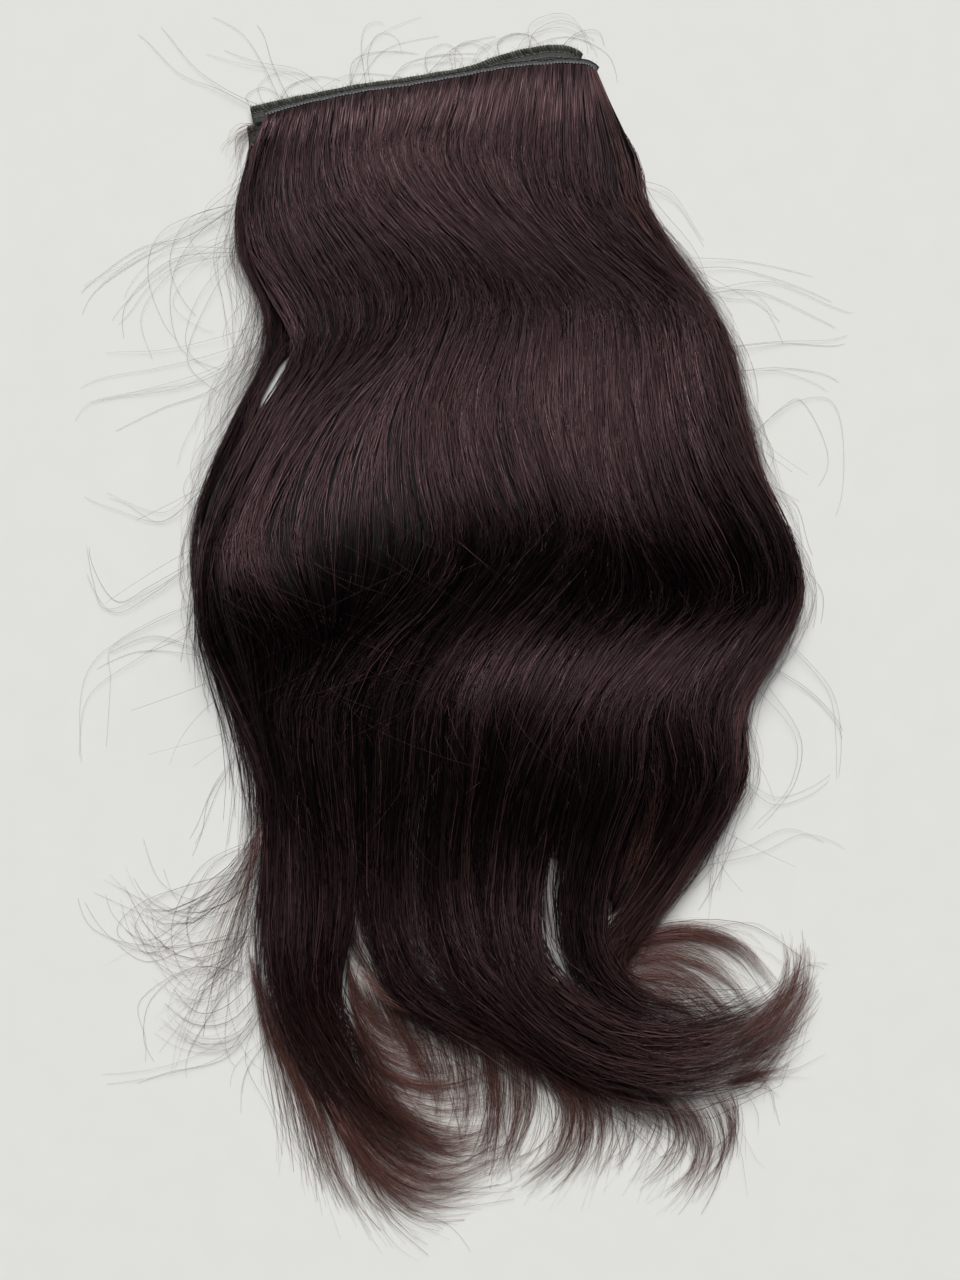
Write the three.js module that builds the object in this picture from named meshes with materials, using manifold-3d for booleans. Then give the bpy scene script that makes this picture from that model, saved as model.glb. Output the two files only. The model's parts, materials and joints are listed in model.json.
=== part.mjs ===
// A wefted hair extension lying on a table: three wefts stacked seam on seam, each a sewn band with its fall
// of wavy hair. Millimetres, +Z up, the seams towards +Y and the tips towards -Y.
import * as THREE from "three";
import { mergeVertices } from "three/addons/utils/BufferGeometryUtils.js";
import Module from "manifold-3d";

const wasm = await Module();
wasm.setup();

// Driving dimensions.
const HAIR_DEPTH = 4; // one weft's hair where it lies fullest
const HAIR_GAP = 1.2; // air between the hair of two wefts
const ROOT_DEPTH = 1.5; // one weft's hair where it leaves its band
const BAND_EDGE = 1.6; // a band through its rolled seam edge
const BAND_WALL = 1.1; // a band through its flat part
const SEAM_ROLL = 1.8; // width of the rolled seam edge
const CLEARANCE = 0.3; // between neighbouring pieces
const LOOSE_RUN = 60; // from the band to where the hair lies at its own height
const EDGE_SHARE = 0.25; // height left at the side edges of the fall
const EDGE_REACH = 26; // how far in from a side edge the fall thins
const PARTING_Y = -117; // above this the locks drape with the fall, and below it they lie on their own
const PARTING_RUN = 30; // over which a lock takes up the drape of the fall
const WAVE_TILT = 0.09; // the waves run across the fall at the slope of the seams
const GROOVE_SHARE = 0.45; // depth of the furrows between locks, of the hair's depth
const LOCK_EDGE = 0.3; // depth left at the sides of a free lock, of its depth
const FALL_CENTRE = { x: -8, y: 0.2 }; // middle of the outline, in the coordinates of the tables

// The wefts from the table upwards. rank counts the wefts underneath, wave is the share of the waves' height
// that a weft takes up, first and last name the strands at its sides, sections says how far its fall runs,
// between how finely its top is cut from strand to strand, and seam lists its sewn edge as x, y.
const WEFTS = [
  {
    name: "back", rank: 0, wave: 0,
    first: "leftSide", last: "outerRight", band: 5, between: 1, sections: 13,
    seam: [[-98.5, 215.5], [-60, 221], [-20, 228], [20, 233.5], [48, 236]],
  },
  {
    name: "middle", rank: 1, wave: 0.5,
    first: "outerLeft", last: "rightSide", band: 6.8, between: 1, sections: 13,
    seam: [[-97, 226], [-56, 232], [-21, 237], [-2, 242], [23, 249], [38, 250], [45, 244.5]],
  },
  {
    name: "front", rank: 2, wave: 1,
    first: "outerLeft", last: "innerRight", band: 4.2, between: 3, sections: 14,
    seam: [[-91.5, 223.5], [-56, 229.5], [-21, 235], [8, 239], [33, 241.5], [45, 241.5], [50, 239]],
  },
];

// Eleven marked strands, from the left side of the fall to the right, and their places along a whole band.
const STRANDS = [
  "leftSide", "outerLeft", "left", "innerLeft", "midLeft", "centre", "midRight", "right", "outerRight",
  "innerRight", "rightSide",
];
const ROOT_SHARE = [0, 0.04, 0.24, 0.34, 0.44, 0.55, 0.68, 0.78, 0.91, 0.97, 1];

// Sections across the fall. y is the section's place, lift the height of the wave under the front weft, depth
// the share of the full hair depth, and strandX where the marked strands cross it.
const SECTIONS = [
  { y: 204, lift: 0, depth: 0.6, strandX: [-98, -93, -61, -45, -32, -19, 3, 18, 40, 50, 64] },
  { y: 183, lift: 2, depth: 0.9, strandX: [-102, -97, -58, -42, -29, -15, 0, 15, 40, 52, 68] },
  { y: 162, lift: 3, depth: 1, strandX: [-100, -94, -40, -23, -10, 4, 17, 25, 54, 69, 81] },
  { y: 142, lift: 2, depth: 1, strandX: [-91, -81, -33, -19, -2, 15, 31, 44, 73, 87, 95] },
  { y: 121, lift: 2, depth: 1, strandX: [-90, -75, -41, -26, -3, 20, 35, 52, 79, 94, 105] },
  { y: 96, lift: 5, depth: 1, strandX: [-102, -88, -66, -29, -8, 23, 38, 56, 86, 101, 111] },
  { y: 67, lift: 9, depth: 1, strandX: [-116, -100, -82, -27, 1, 32, 44, 65, 98, 114, 118] },
  { y: 40, lift: 10, depth: 1, strandX: [-121, -112, -88, -21, 11, 41, 57, 79, 117, 128, 131] },
  { y: 17, lift: 3, depth: 1, strandX: [-118, -115, -79, -32, -1, 22, 62, 93, 121, 132, 134] },
  { y: -4, lift: 1, depth: 1, strandX: [-114, -112, -68, -55, -17, 3, 46, 75, 104, 121, 125] },
  { y: -29, lift: 6, depth: 0.95, strandX: [-103, -101, -79, -68, -29, -7, 35, 55, 91, 106, 111] },
  { y: -58, lift: 1, depth: 0.8, strandX: [-93, -91, -80, -69, -30, -6, 22, 57, 95, 107, 111] },
  { y: -88, lift: 0, depth: 0.55, strandX: [-90, -88, -79, -65, -36, -10, 15, 53, 83, 95, 98] },
  { y: -117, lift: 0, depth: 0.42, strandX: [-93, -92, -78, -62, -37, -12, 12, 44, 60, 66, 96] },
];

// The free locks. Each row is a section of the lock: its middle x and y, half its width, the height of its
// underside and its depth.
const LOCK_COLUMNS = ["x", "y", "half", "z", "depth"];
const LOCKS = [
  {
    weft: "front", // the long lock on the left, which curls in under the tips
    rows: [
      [-78, -29, 14, 16.6, 2.4], [-72, -58, 17, 10.6, 3.6], [-71, -88, 19, 6.8, 5], [-74, -118, 18, 4.6, 6.2],
      [-74, -140, 16.5, 3.6, 6.4], [-67, -160, 15, 3, 6.4], [-53, -182, 14, 2.4, 6],
      [-36, -200, 13, 1.8, 5.4], [-18, -211, 12, 1, 4.4], [0, -217, 8, 0.5, 3.2], [12, -218, 3, 0.3, 1.6],
    ],
  },
  {
    weft: "front", // the thin reddish lock that sweeps right and hooks back
    rows: [
      [-36, -29, 9, 16.4, 2.4], [-36, -58, 10, 10, 3.4], [-38, -88, 10, 6.5, 5], [-37, -117, 11, 5, 5],
      [-30, -139, 10.5, 5, 4.6], [-13, -153, 9.5, 5, 4.2], [8, -164, 8.5, 4, 4], [28, -178, 7.5, 2.5, 3.6],
      [39, -195, 6, 1, 3], [36, -214, 4.5, 0.4, 2.4], [23, -230, 2, 0.3, 1.2],
    ],
  },
  {
    weft: "front", // a slim end that drops out of the reddish lock
    rows: [
      [-6, -157, 5, 5, 3.4], [4, -171, 4.6, 3, 3.2], [9, -186, 4.2, 1.4, 3], [11, -198, 3, 0.6, 2.2],
      [11, -206, 1.4, 0.4, 1.2],
    ],
  },
  {
    weft: "front", // the lock that runs under the big curl and ends in a spray
    rows: [
      [-12, -29, 12, 16.4, 2.4], [-12, -58, 13, 10, 3.4], [-13, -88, 13, 6.5, 5], [-10, -117, 13, 5, 5.4],
      [-2, -138, 13, 5, 5.4], [17, -156, 12, 5, 5.2], [42, -172, 11, 4.5, 5], [66, -186, 11, 2, 4.6],
      [84, -200, 9, 0.6, 3.8], [89, -216, 6, 0.3, 2.6], [81, -234, 2, 0.3, 1.2],
    ],
  },
  {
    weft: "front", // the big curl that turns up on the right
    rows: [
      [16, -29, 12, 16.4, 2.4], [14, -58, 13, 10, 3.4], [13, -88, 13, 6.5, 5], [12, -117, 12, 5.5, 6],
      [20, -142, 12, 6, 6.4], [40, -161, 13, 6, 6.6], [66, -173, 14, 5, 6.8], [94, -175, 13, 3, 6.2],
      [118, -165, 11, 1, 5.2], [133, -149, 7, 0.4, 3.6], [138, -135, 2.5, 0.3, 1.4],
    ],
  },
  {
    weft: "front", // the inner lock, whose thin end loops back over the top of the curl
    rows: [
      [48, -29, 11, 16.4, 2.4], [46, -58, 11, 10, 3.4], [45, -88, 10, 6.5, 5], [44, -117, 9, 6, 5.4],
      [50, -140, 9, 7, 5], [66, -155, 9, 6.5, 4.6], [90, -161, 8, 4.4, 4.2], [111, -155, 6, 2.2, 3.6],
      [121, -142, 5, 1.2, 3], [115, -130, 4.5, 0.8, 2.6], [102, -123, 4, 0.5, 2.2], [88, -121.5, 3, 0.4, 1.8],
      [79, -122.5, 1.4, 0.3, 1.2],
    ],
  },
  {
    weft: "front", // the lock down the right side, which narrows into the inner lock
    rows: [
      [95, -40, 8, 13, 2], [94, -58, 9, 10.4, 2.4], [84, -88, 9, 6.4, 3.4], [68, -112, 7, 5.8, 3.2],
      [58, -126, 5, 6.2, 3], [54, -138, 3, 7.5, 2.4],
    ],
  },
  {
    weft: "middle", // the lock down the right side, which tucks in under the big curl
    rows: [
      [87, -78, 4, 3.9, 1], [81, -100, 7, 1.6, 2.2], [66, -116, 8, 0.8, 4], [54, -132, 8, 0.4, 4],
      [52, -147, 7, 0.3, 3.6], [62, -158, 5, 0.3, 3], [76, -163, 2, 0.3, 1.4],
    ],
  },
  {
    weft: "back", // the thin spray at the bottom left
    rows: [
      [-82, -78, 5, 0, 1], [-85, -98, 6, 0, 1.2], [-86, -117, 8, 0, 2], [-84, -145, 7, 0, 2],
      [-74, -175, 6, 0, 1.8], [-63, -203, 5, 0, 1.6], [-50, -228, 4, 0, 1.4], [-32, -243, 2.5, 0, 1.2],
      [-16, -249, 1, 0, 1],
    ],
  },
  {
    weft: "back", // a stray wisp out to the left
    rows: [
      [-80, -66, 4, 0, 1], [-95, -85, 4, 0, 4], [-108, -105, 3, 0, 1.6], [-127, -114, 2.2, 0, 1.4],
      [-145, -107, 1.6, 0, 1.2], [-156, -91, 0.8, 0, 1],
    ],
  },
  {
    weft: "back", // a second stray wisp below it
    rows: [
      [-86, -96, 4, 0, 1.8], [-104, -130, 3, 0, 1.6], [-118, -146, 2.2, 0, 1.4], [-128, -168, 1.5, 0, 1.2],
      [-131, -184, 0.8, 0, 1],
    ],
  },
];

// Resolution of the lofts.
const STEPS_PER_SECTION = 2;
const LOCK_SIDES = 4; // faces across the top of a lock, and as many underneath
const BAND_STEPS = 14;
const LOOK_AHEAD = 0.05; // share of a row either way, for a lock's heading

const { lerp, smoothstep } = THREE.MathUtils;

// A smooth curve through values at rising stops, as a function of the stop.
function through(stops, values) {
  const last = stops.length - 1;
  const slope = (i) => {
    const a = Math.max(i - 1, 0);
    const b = Math.min(i + 1, last);
    return (values[b] - values[a]) / (stops[b] - stops[a]);
  };
  return (at) => {
    const t = Math.min(Math.max(at, stops[0]), stops[last]);
    const i = Math.min(stops.findLastIndex((s) => s <= t), last - 1);
    const run = stops[i + 1] - stops[i];
    const u = (t - stops[i]) / run;
    const ease = u * u * (3 - 2 * u);
    const rise = u * (1 - u) * (1 - u) * run * slope(i);
    const fall = u * u * (1 - u) * run * slope(i + 1);
    return lerp(values[i], values[i + 1], ease) + rise - fall;
  };
}

const counting = (rows) => rows.map((_, i) => i);
const downwards = SECTIONS.map((s) => -s.y);
const sectionCurve = (pick) => {
  const curve = through(downwards, SECTIONS.map(pick));
  return (y) => curve(-y);
};
const liftAt = sectionCurve((s) => s.lift);
const depthAt = sectionCurve((s) => s.depth);
const leftSideAt = sectionCurve((s) => s.strandX[0]);
const rightSideAt = sectionCurve((s) => s.strandX[STRANDS.length - 1]);

// The sewn edge of a weft as a curve, and a point at a share of its length and a distance down from it.
const seamOf = (weft) => new THREE.CatmullRomCurve3(weft.seam.map(([x, y]) => new THREE.Vector3(x, y, 0)));
function belowSeam(seam, share, down) {
  const at = seam.getPointAt(share);
  const along = seam.getTangentAt(share);
  return { x: at.x + along.y * down, y: at.y - along.x * down };
}

// Height on the table of the line where the hair leaves a weft's band.
const rootY = (weft, x) => through(weft.seam.map(([sx]) => sx), weft.seam.map(([, sy]) => sy))(x) - weft.band;

// How freely the hair of a weft lies at a point: 0 where its band holds it, 1 where it is loose.
const looseness = (weft, x, y) => smoothstep(rootY(weft, x) - y, 0, LOOSE_RUN);

// How full the fall is at a point: it thins towards its two sides.
function fullness(x, y) {
  const inFromEdge = Math.min(x - leftSideAt(y), rightSideAt(y) - x);
  return lerp(EDGE_SHARE, 1, smoothstep(inFromEdge, 0, EDGE_REACH));
}

// Height of a weft's underside and depth of its hair at a point of the fall.
function undersideAt(weft, x, y) {
  const stacked = weft.rank * (HAIR_DEPTH + HAIR_GAP) * depthAt(y);
  const waved = weft.wave * liftAt(y - WAVE_TILT * x);
  const held = weft.rank * (BAND_EDGE + CLEARANCE);
  const loose = fullness(x, y) * (stacked + waved) + weft.rank * CLEARANCE;
  return lerp(held, loose, looseness(weft, x, y));
}
function hairDepthAt(weft, x, y) {
  return lerp(ROOT_DEPTH, fullness(x, y) * HAIR_DEPTH * depthAt(y), looseness(weft, x, y));
}

// A closed surface over rings of points, each of them an underside and a top that run left to right.
function loft(rings) {
  const count = rings[0].under.length;
  const size = 2 * count;
  const around = [...counting(rings[0].under), ...counting(rings[0].under).map((i) => size - 1 - i)];
  const position = rings.flatMap((r) => [...r.under, ...r.top].flat());
  const index = [];
  const quad = (a, b, c, d) => index.push(a, b, c, a, c, d);
  for (let s = 0; s + 1 < rings.length; s++) {
    around.forEach((a, k) => {
      const b = around[(k + 1) % size];
      quad(s * size + a, s * size + b, (s + 1) * size + b, (s + 1) * size + a);
    });
  }
  const end = (rings.length - 1) * size;
  for (let i = 0; i + 1 < count; i++) {
    quad(i, count + i, count + i + 1, i + 1);
    quad(end + i, end + i + 1, end + count + i + 1, end + count + i);
  }
  const geometry = new THREE.BufferGeometry();
  geometry.setAttribute("position", new THREE.Float32BufferAttribute(position, 3));
  return geometry.setIndex(index);
}

// The broad fall of one weft, from its band to where the locks part, furrowed between the marked strands.
function fall(weft) {
  const strands = [];
  const first = STRANDS.indexOf(weft.first);
  const last = STRANDS.indexOf(weft.last);
  for (let k = first; k <= last; k++) {
    const share = (ROOT_SHARE[k] - ROOT_SHARE[first]) / (ROOT_SHARE[last] - ROOT_SHARE[first]);
    const root = belowSeam(seamOf(weft), share, weft.band + 2 * CLEARANCE);
    const xs = [root.x, ...SECTIONS.map((s) => s.strandX[k])];
    const ys = [root.y, ...SECTIONS.map((s) => s.y)];
    strands.push({ x: through(counting(xs), xs), y: through(counting(ys), ys) });
  }
  const rings = [];
  for (let step = 0; step <= weft.sections * STEPS_PER_SECTION; step++) {
    const t = step / STEPS_PER_SECTION;
    const under = [];
    const top = [];
    for (let p = 0; p <= (strands.length - 1) * weft.between; p++) {
      const left = strands[Math.min(Math.floor(p / weft.between), strands.length - 2)];
      const right = strands[strands.indexOf(left) + 1];
      const share = p / weft.between - strands.indexOf(left);
      const x = lerp(left.x(t), right.x(t), share);
      const y = lerp(left.y(t), right.y(t), share);
      const low = undersideAt(weft, x, y);
      const furrowed = weft.between > 1 && p % weft.between === 0;
      const furrow = furrowed ? GROOVE_SHARE * looseness(weft, x, y) : 0;
      under.push([x, y, low]);
      top.push([x, y, low + hairDepthAt(weft, x, y) * (1 - furrow)]);
    }
    rings.push({ under, top });
  }
  return loft(rings);
}

// One free lock: a flat-bottomed, round-topped section carried along its rows.
function freeLock(lock) {
  const column = (name) => {
    const k = LOCK_COLUMNS.indexOf(name);
    return through(counting(lock.rows), lock.rows.map((row) => row[k]));
  };
  const [x, y, half, z, depth] = LOCK_COLUMNS.map(column);
  const rings = [];
  for (let step = 0; step <= (lock.rows.length - 1) * STEPS_PER_SECTION; step++) {
    const t = step / STEPS_PER_SECTION;
    const [before, after] = [t - LOOK_AHEAD, t + LOOK_AHEAD];
    const ahead = new THREE.Vector2(x(after) - x(before), y(after) - y(before)).normalize();
    const under = [];
    const top = [];
    for (let i = 0; i <= LOCK_SIDES; i++) {
      const across = (2 * i) / LOCK_SIDES - 1;
      const px = x(t) - ahead.y * across * half(t);
      const py = y(t) + ahead.x * across * half(t);
      const crown = lerp(LOCK_EDGE, 1, Math.sqrt(1 - across * across));
      const drape = lerp(1, fullness(px, py), smoothstep(py, PARTING_Y, PARTING_Y + PARTING_RUN));
      under.push([px, py, z(t) * drape]);
      top.push([px, py, (z(t) + depth(t) * crown) * drape]);
    }
    rings.push({ under, top });
  }
  return loft(rings);
}

// The sewn band of one weft: a rolled seam edge with a flat hem below it, carried along the seam.
function sewnBand(weft) {
  const seam = seamOf(weft);
  const low = weft.rank * (BAND_EDGE + CLEARANCE);
  const profile = [
    { down: 0, height: 0.7 * BAND_EDGE },
    { down: 0.2 * SEAM_ROLL, height: BAND_EDGE },
    { down: 0.8 * SEAM_ROLL, height: BAND_EDGE },
    { down: SEAM_ROLL, height: BAND_WALL },
    { down: weft.band, height: BAND_WALL },
  ];
  const rings = [];
  for (let step = 0; step <= BAND_STEPS; step++) {
    const point = (down, height) => {
      const at = belowSeam(seam, 1 - step / BAND_STEPS, down);
      return [at.x, at.y, low + height];
    };
    rings.push({
      under: profile.map((p) => point(p.down, 0)),
      top: profile.map((p) => point(p.down, p.height)),
    });
  }
  return loft(rings);
}

// Geometries joined into one closed solid.
function fuse(geometries) {
  const solids = geometries.map((geometry) => {
    const merged = mergeVertices(geometry);
    return new wasm.Manifold(new wasm.Mesh({
      numProp: 3,
      vertProperties: merged.attributes.position.array,
      triVerts: new Uint32Array(merged.index.array),
    }));
  });
  const mesh = solids.reduce((whole, solid) => whole.add(solid)).getMesh();
  const geometry = new THREE.BufferGeometry();
  geometry.setAttribute("position", new THREE.BufferAttribute(mesh.vertProperties, 3));
  return geometry.setIndex(new THREE.BufferAttribute(mesh.triVerts, 1));
}

const hairFinish = new THREE.MeshStandardMaterial({ color: 0x2b1d1f, roughness: 0.45, metalness: 0 });
const bandFinish = new THREE.MeshStandardMaterial({ color: 0x35363a, roughness: 0.85, metalness: 0 });

const hairExtension = new THREE.Group();
hairExtension.position.set(-FALL_CENTRE.x, -FALL_CENTRE.y, 0);
for (const weft of WEFTS) {
  const locks = LOCKS.filter((lock) => lock.weft === weft.name).map(freeLock);
  const band = new THREE.Mesh(sewnBand(weft), bandFinish);
  const hair = new THREE.Mesh(fuse([fall(weft), ...locks]), hairFinish);
  band.name = `${weft.name}_band`;
  hair.name = `${weft.name}_hair`;
  hairExtension.add(band, hair);
}

export default hairExtension;
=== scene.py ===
import json
import bpy
import numpy as np
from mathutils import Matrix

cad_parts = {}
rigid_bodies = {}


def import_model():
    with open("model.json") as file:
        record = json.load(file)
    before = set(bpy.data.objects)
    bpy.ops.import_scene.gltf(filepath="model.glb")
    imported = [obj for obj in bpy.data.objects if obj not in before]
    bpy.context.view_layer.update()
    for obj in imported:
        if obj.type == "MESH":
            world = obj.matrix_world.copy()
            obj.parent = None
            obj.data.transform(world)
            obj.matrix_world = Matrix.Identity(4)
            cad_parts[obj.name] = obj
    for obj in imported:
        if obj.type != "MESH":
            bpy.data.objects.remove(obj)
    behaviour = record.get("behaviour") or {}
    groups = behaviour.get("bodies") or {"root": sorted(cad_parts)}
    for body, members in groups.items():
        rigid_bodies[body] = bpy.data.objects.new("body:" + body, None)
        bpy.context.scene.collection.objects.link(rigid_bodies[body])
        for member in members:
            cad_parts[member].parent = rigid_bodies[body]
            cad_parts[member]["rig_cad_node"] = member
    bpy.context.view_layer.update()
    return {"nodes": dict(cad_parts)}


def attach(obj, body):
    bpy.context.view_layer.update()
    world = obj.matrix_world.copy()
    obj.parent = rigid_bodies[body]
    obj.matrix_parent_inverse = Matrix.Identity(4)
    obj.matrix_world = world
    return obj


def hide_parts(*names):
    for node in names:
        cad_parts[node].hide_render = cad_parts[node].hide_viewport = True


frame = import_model()
print("frame loaded:", ", ".join(sorted(frame["nodes"])))

# Lengths are millimetres on the table, as in the part's source: x right, y towards the sewn edge, z up.
# toRow moves them to the part's own origin, in metres.
fall = dict(
    centre=np.array([-8.0, 0.2, 0.0]),
    hairDepth=4.0, hairGap=1.2, bandStep=1.9, clearance=0.3,
    rootDepth=1.5, rootRun=.35, rootTuck=.3, rootRise=.2,
    looseRun=60.0, edgeShare=0.5, edgeReach=22.0,
    partingY=-117.0, partingRun=30.0, waveTilt=0.12, waveDrop=6.0,
    leftLift=.66, leftLiftFade=(10, 60), leftDrop=6.0, leftDropFade=(40, 90),
    slitY=(142, 121, 96, 67), slitX=(-76, -80, -94, -108), slitHalf=(0, 3.8, 2.6, 0), slitReach=9,
    lowWaveY=-44.0, lowWaveTilt=-0.06, lowWaveRun=28.0, lowWaveLift=13.0, lowWaveFade=(-38.0, 2.0),
)
# face is each band's share of its pale face colour; the back weft's is kept so low that its face is nearly as dark as
# its rolled edge, painted shade under the middle band's edge
wefts = dict(
    back=dict(rank=0, wave=0.0, first=0, last=8, band=8.0, roll=2.4, face=.1, fuzz=2.0,
              seam=[(-98.5, 217), (-60, 222), (-20, 228), (20, 233.5), (40, 235.5)]),
    middle=dict(rank=1, wave=0.5, first=1, last=10, band=7.6, roll=2.3, face=.35, fuzz=4.4,
                seam=[(-97, 224.6), (-56, 233), (-21, 238.4), (-6, 241.3),
                      (10, 246.5), (24, 249.9), (36, 250.1), (43.6, 247.3)]),
    front=dict(rank=2, wave=1.25, first=.5, last=9.95, band=3.0, roll=.5, face=1.0, fuzz=.8,
               seam=[(-91, 222.5), (-61, 230), (-45, 232.8), (-21, 236.3), (0, 240.3),
                     (25, 243.7), (38.5, 244.1), (46, 243.2), (50.3, 240.9)]),
)

# Eleven lock lines run down the fall, from the left side to the right side. rootShare is where each one leaves
# its seam. Each section gives y, how far the wave lifts the hair, how deep the hair is, and x of each line.
rootShare = np.array([0, .04, .24, .34, .44, .55, .68, .78, .91, .97, 1])
sections = [
    (204, .5, .50, [-98, -93, -62, -47, -36, -23, -3, 13, 38, 51, 66]),
    (183, .42, .55, [-102, -97, -57, -39, -25, -11, 6, 19, 42, 54, 70]),
    (162, .4, .61, [-100, -94, -40, -19, -4, 10, 26, 38, 59, 71, 83]),
    (142, .42, .655, [-91, -81, -31, -11, 9, 27, 45, 59, 82, 90, 96]),
    (121, .7, .81, [-91, -75, -38, -18, 5, 28, 46, 64, 87, 97, 105]),
    (96, 2.9, .94, [-103, -88, -62, -26, -3, 27, 45, 65, 91, 103, 111]),
    (67, 6.2, 1.0, [-116, -100, -80, -26, 3, 34, 48, 70, 101, 114, 118]),
    (40, 8.6, 1.0, [-121, -112, -88, -21, 11, 41, 57, 79, 117, 128, 131]),
    (17, 2.6, 1.0, [-118, -115, -79, -32, -1, 22, 62, 93, 121, 132, 134]),
    (-4, .8, 1.0, [-114, -112, -68, -55, -17, 3, 46, 75, 104, 121, 125]),
    (-29, .2, .95, [-103, -101, -79, -68, -29, -7, 35, 55, 91, 106, 111]),
    (-58, 0, .80, [-93, -91, -80, -69, -30, -6, 22, 57, 95, 107, 111]),
    (-88, 0, .55, [-90, -88, -79, -65, -36, -10, 15, 53, 83, 95, 98]),
    (-117, 0, .42, [-93, -92, -78, -62, -37, -12, 12, 44, 60, 66, 96]),
]
sectionY = np.array([s[0] for s in sections], float)
sectionLift = np.array([s[1] for s in sections], float)
sectionDepth = np.array([s[2] for s in sections], float)
sectionX = np.array([s[3] for s in sections], float)

# The free locks: x, y, half width, underside and depth at points down each one.
locks = dict(
    left=[(-78, -29, 14, 16.6, 2.4), (-72, -58, 17, 10, 3.6), (-71, -88, 19, 3.4, 5), (-72, -118, 18, 6.8, 6),
          (-73, -141, 14.5, 8.2, 6.2), (-69, -157, 12, 6.2, 6), (-60, -174, 11, 4.6, 5.6), (-48, -193, 9.5, 2.8, 5),
          (-31, -208, 8, 1.2, 4), (-12, -216, 6, .5, 3), (6, -217, 3, .3, 1.6)],
    reddish=[(-36, -29, 9, 16.4, 2.4), (-36, -58, 10, 10, 3.4), (-38, -88, 11, 2.4, 5), (-37, -117, 12.5, 6.2, 5),
             (-30, -139, 10.5, 9.6, 4.6), (-13, -153, 9.5, 7.6, 4.2), (8, -164, 8.5, 5.8, 4), (28, -178, 7.5, 3.2, 3.6),
             (39, -195, 6, 1, 3), (36, -214, 4.5, .4, 2.4), (23, -230, 2, .3, 1.2)],
    spray=[(-12, -29, 12, 16.4, 2.4), (-12, -58, 13, 10, 3.4), (-13, -88, 13, 2.6, 5), (-10, -117, 13.5, 6.6, 5.4),
           (-2, -138, 13, 9.4, 5.4), (17, -156, 12, 7.6, 5.2), (42, -172, 11, 5.6, 5), (66, -186, 11, 2.6, 4.6),
           (84, -200, 9, .6, 3.8), (89, -216, 6, .3, 2.6), (81, -234, 2, .3, 1.2)],
    curl=[(16, -29, 12, 16.4, 2.4), (14, -58, 13, 10, 3.4), (13, -88, 13, 2.6, 5), (12, -117, 13, 6.8, 6),
          (19, -142, 12.5, 10, 6.4), (40, -162, 13, 8.6, 6.6), (66, -174, 14, 6.6, 6.8), (94, -176, 13, 3.6, 6.2),
          (118, -166, 11, 1, 5.2), (132, -149, 7, .4, 3.6), (137, -134, 2.5, .3, 1.4)],
    loop=[(47, -29, 12, 16.4, 2.4), (45, -58, 12.5, 10, 3.4), (43, -88, 12.5, 6.5, 5), (42, -117, 11, 6, 5.4),
          (48, -139, 10.5, 7, 5), (64, -154, 9.5, 6.5, 4.6), (90, -160, 8, 4.4, 4.2), (111, -154, 6, 2.2, 3.6),
          (121, -142, 5, 1.2, 3), (115, -130, 4.5, .8, 2.6), (102, -123, 4, .5, 2.2), (88, -121.5, 3, .4, 1.8),
          (79, -122.5, 1.4, .3, 1.2)],
    right=[(95, -40, 8, 13, 2), (94, -58, 9, 10.4, 2.4), (84, -88, 9, 6.4, 3.4), (68, -112, 7, 5.8, 3.2),
           (58, -126, 5, 6.2, 3), (54, -138, 4, 6.5, 2.4), (58, -150, 4, 5, 2), (70, -160, 2.5, 3, 1.5)],
    under=[(87, -78, 4, 3.9, 1), (81, -100, 7, 1.6, 2.2), (66, -116, 8, .8, 4), (54, -132, 8, .4, 4),
           (52, -147, 7, .3, 3.6), (62, -158, 5, .3, 3), (76, -163, 2, .3, 1.4)],
    side=[(-82, -78, 5, 0, 1), (-85, -98, 6, 0, 1.2), (-83, -117, 7, 0, 2), (-79, -145, 7, 0, 2),
          (-70, -173, 7.5, 0, 1.8), (-59, -200, 9, 0, 1.6), (-50, -226, 9, 0, 1.4), (-33, -241, 6, 0, 1.2),
          (-16, -249, 1, 0, 1)],
    wispHigh=[(-80, -66, 4, 0, 1), (-95, -85, 4, 0, 4), (-108, -105, 3, 0, 1.6), (-127, -114, 2.2, 0, 1.4),
              (-145, -107, 1.6, 0, 1.2), (-156, -91, .8, 0, 1)],
    wispLow=[(-86, -96, 4, 0, 1.8), (-104, -130, 3, 0, 1.6), (-118, -146, 2.2, 0, 1.4), (-128, -168, 1.5, 0, 1.2),
             (-131, -184, .8, 0, 1)],
)


def toRow(points):
    # table millimetres to the part's metres
    return (points - fall["centre"]) * 0.001


picture = dict(middleX=480, middleY=640, scale=2.4)  # pixels, and pixels to the millimetre
fullTurn = 6.28  # of the sines that hairs wander on
tableGap = .05  # between the table and what lies on it


def fromPicture(spots):
    # places on the 960 by 1280 picture to table millimetres
    x, y = np.moveaxis(np.asarray(spots, float), -1, 0)
    return np.stack([x - picture["middleX"], picture["middleY"] - y], -1) / picture["scale"]


def weftOf(name):
    # the weft that a piece's name starts with
    return next(key for key in wefts if name.startswith(key))


def mix(a, b, share):
    # a at share 0, b at share 1 and a straight line between
    return a + (b - a) * share


def ease(value, low, high):
    # 0 below low, 1 above high, and 3t2 - 2t3 between them
    t = np.clip((value - low) / (high - low), 0, 1)
    return t * t * (3 - 2 * t)


def swing(turns, share, phase):
    # sine of so many turns over the share
    return np.sin(fullTurn * turns * share + phase)


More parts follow.
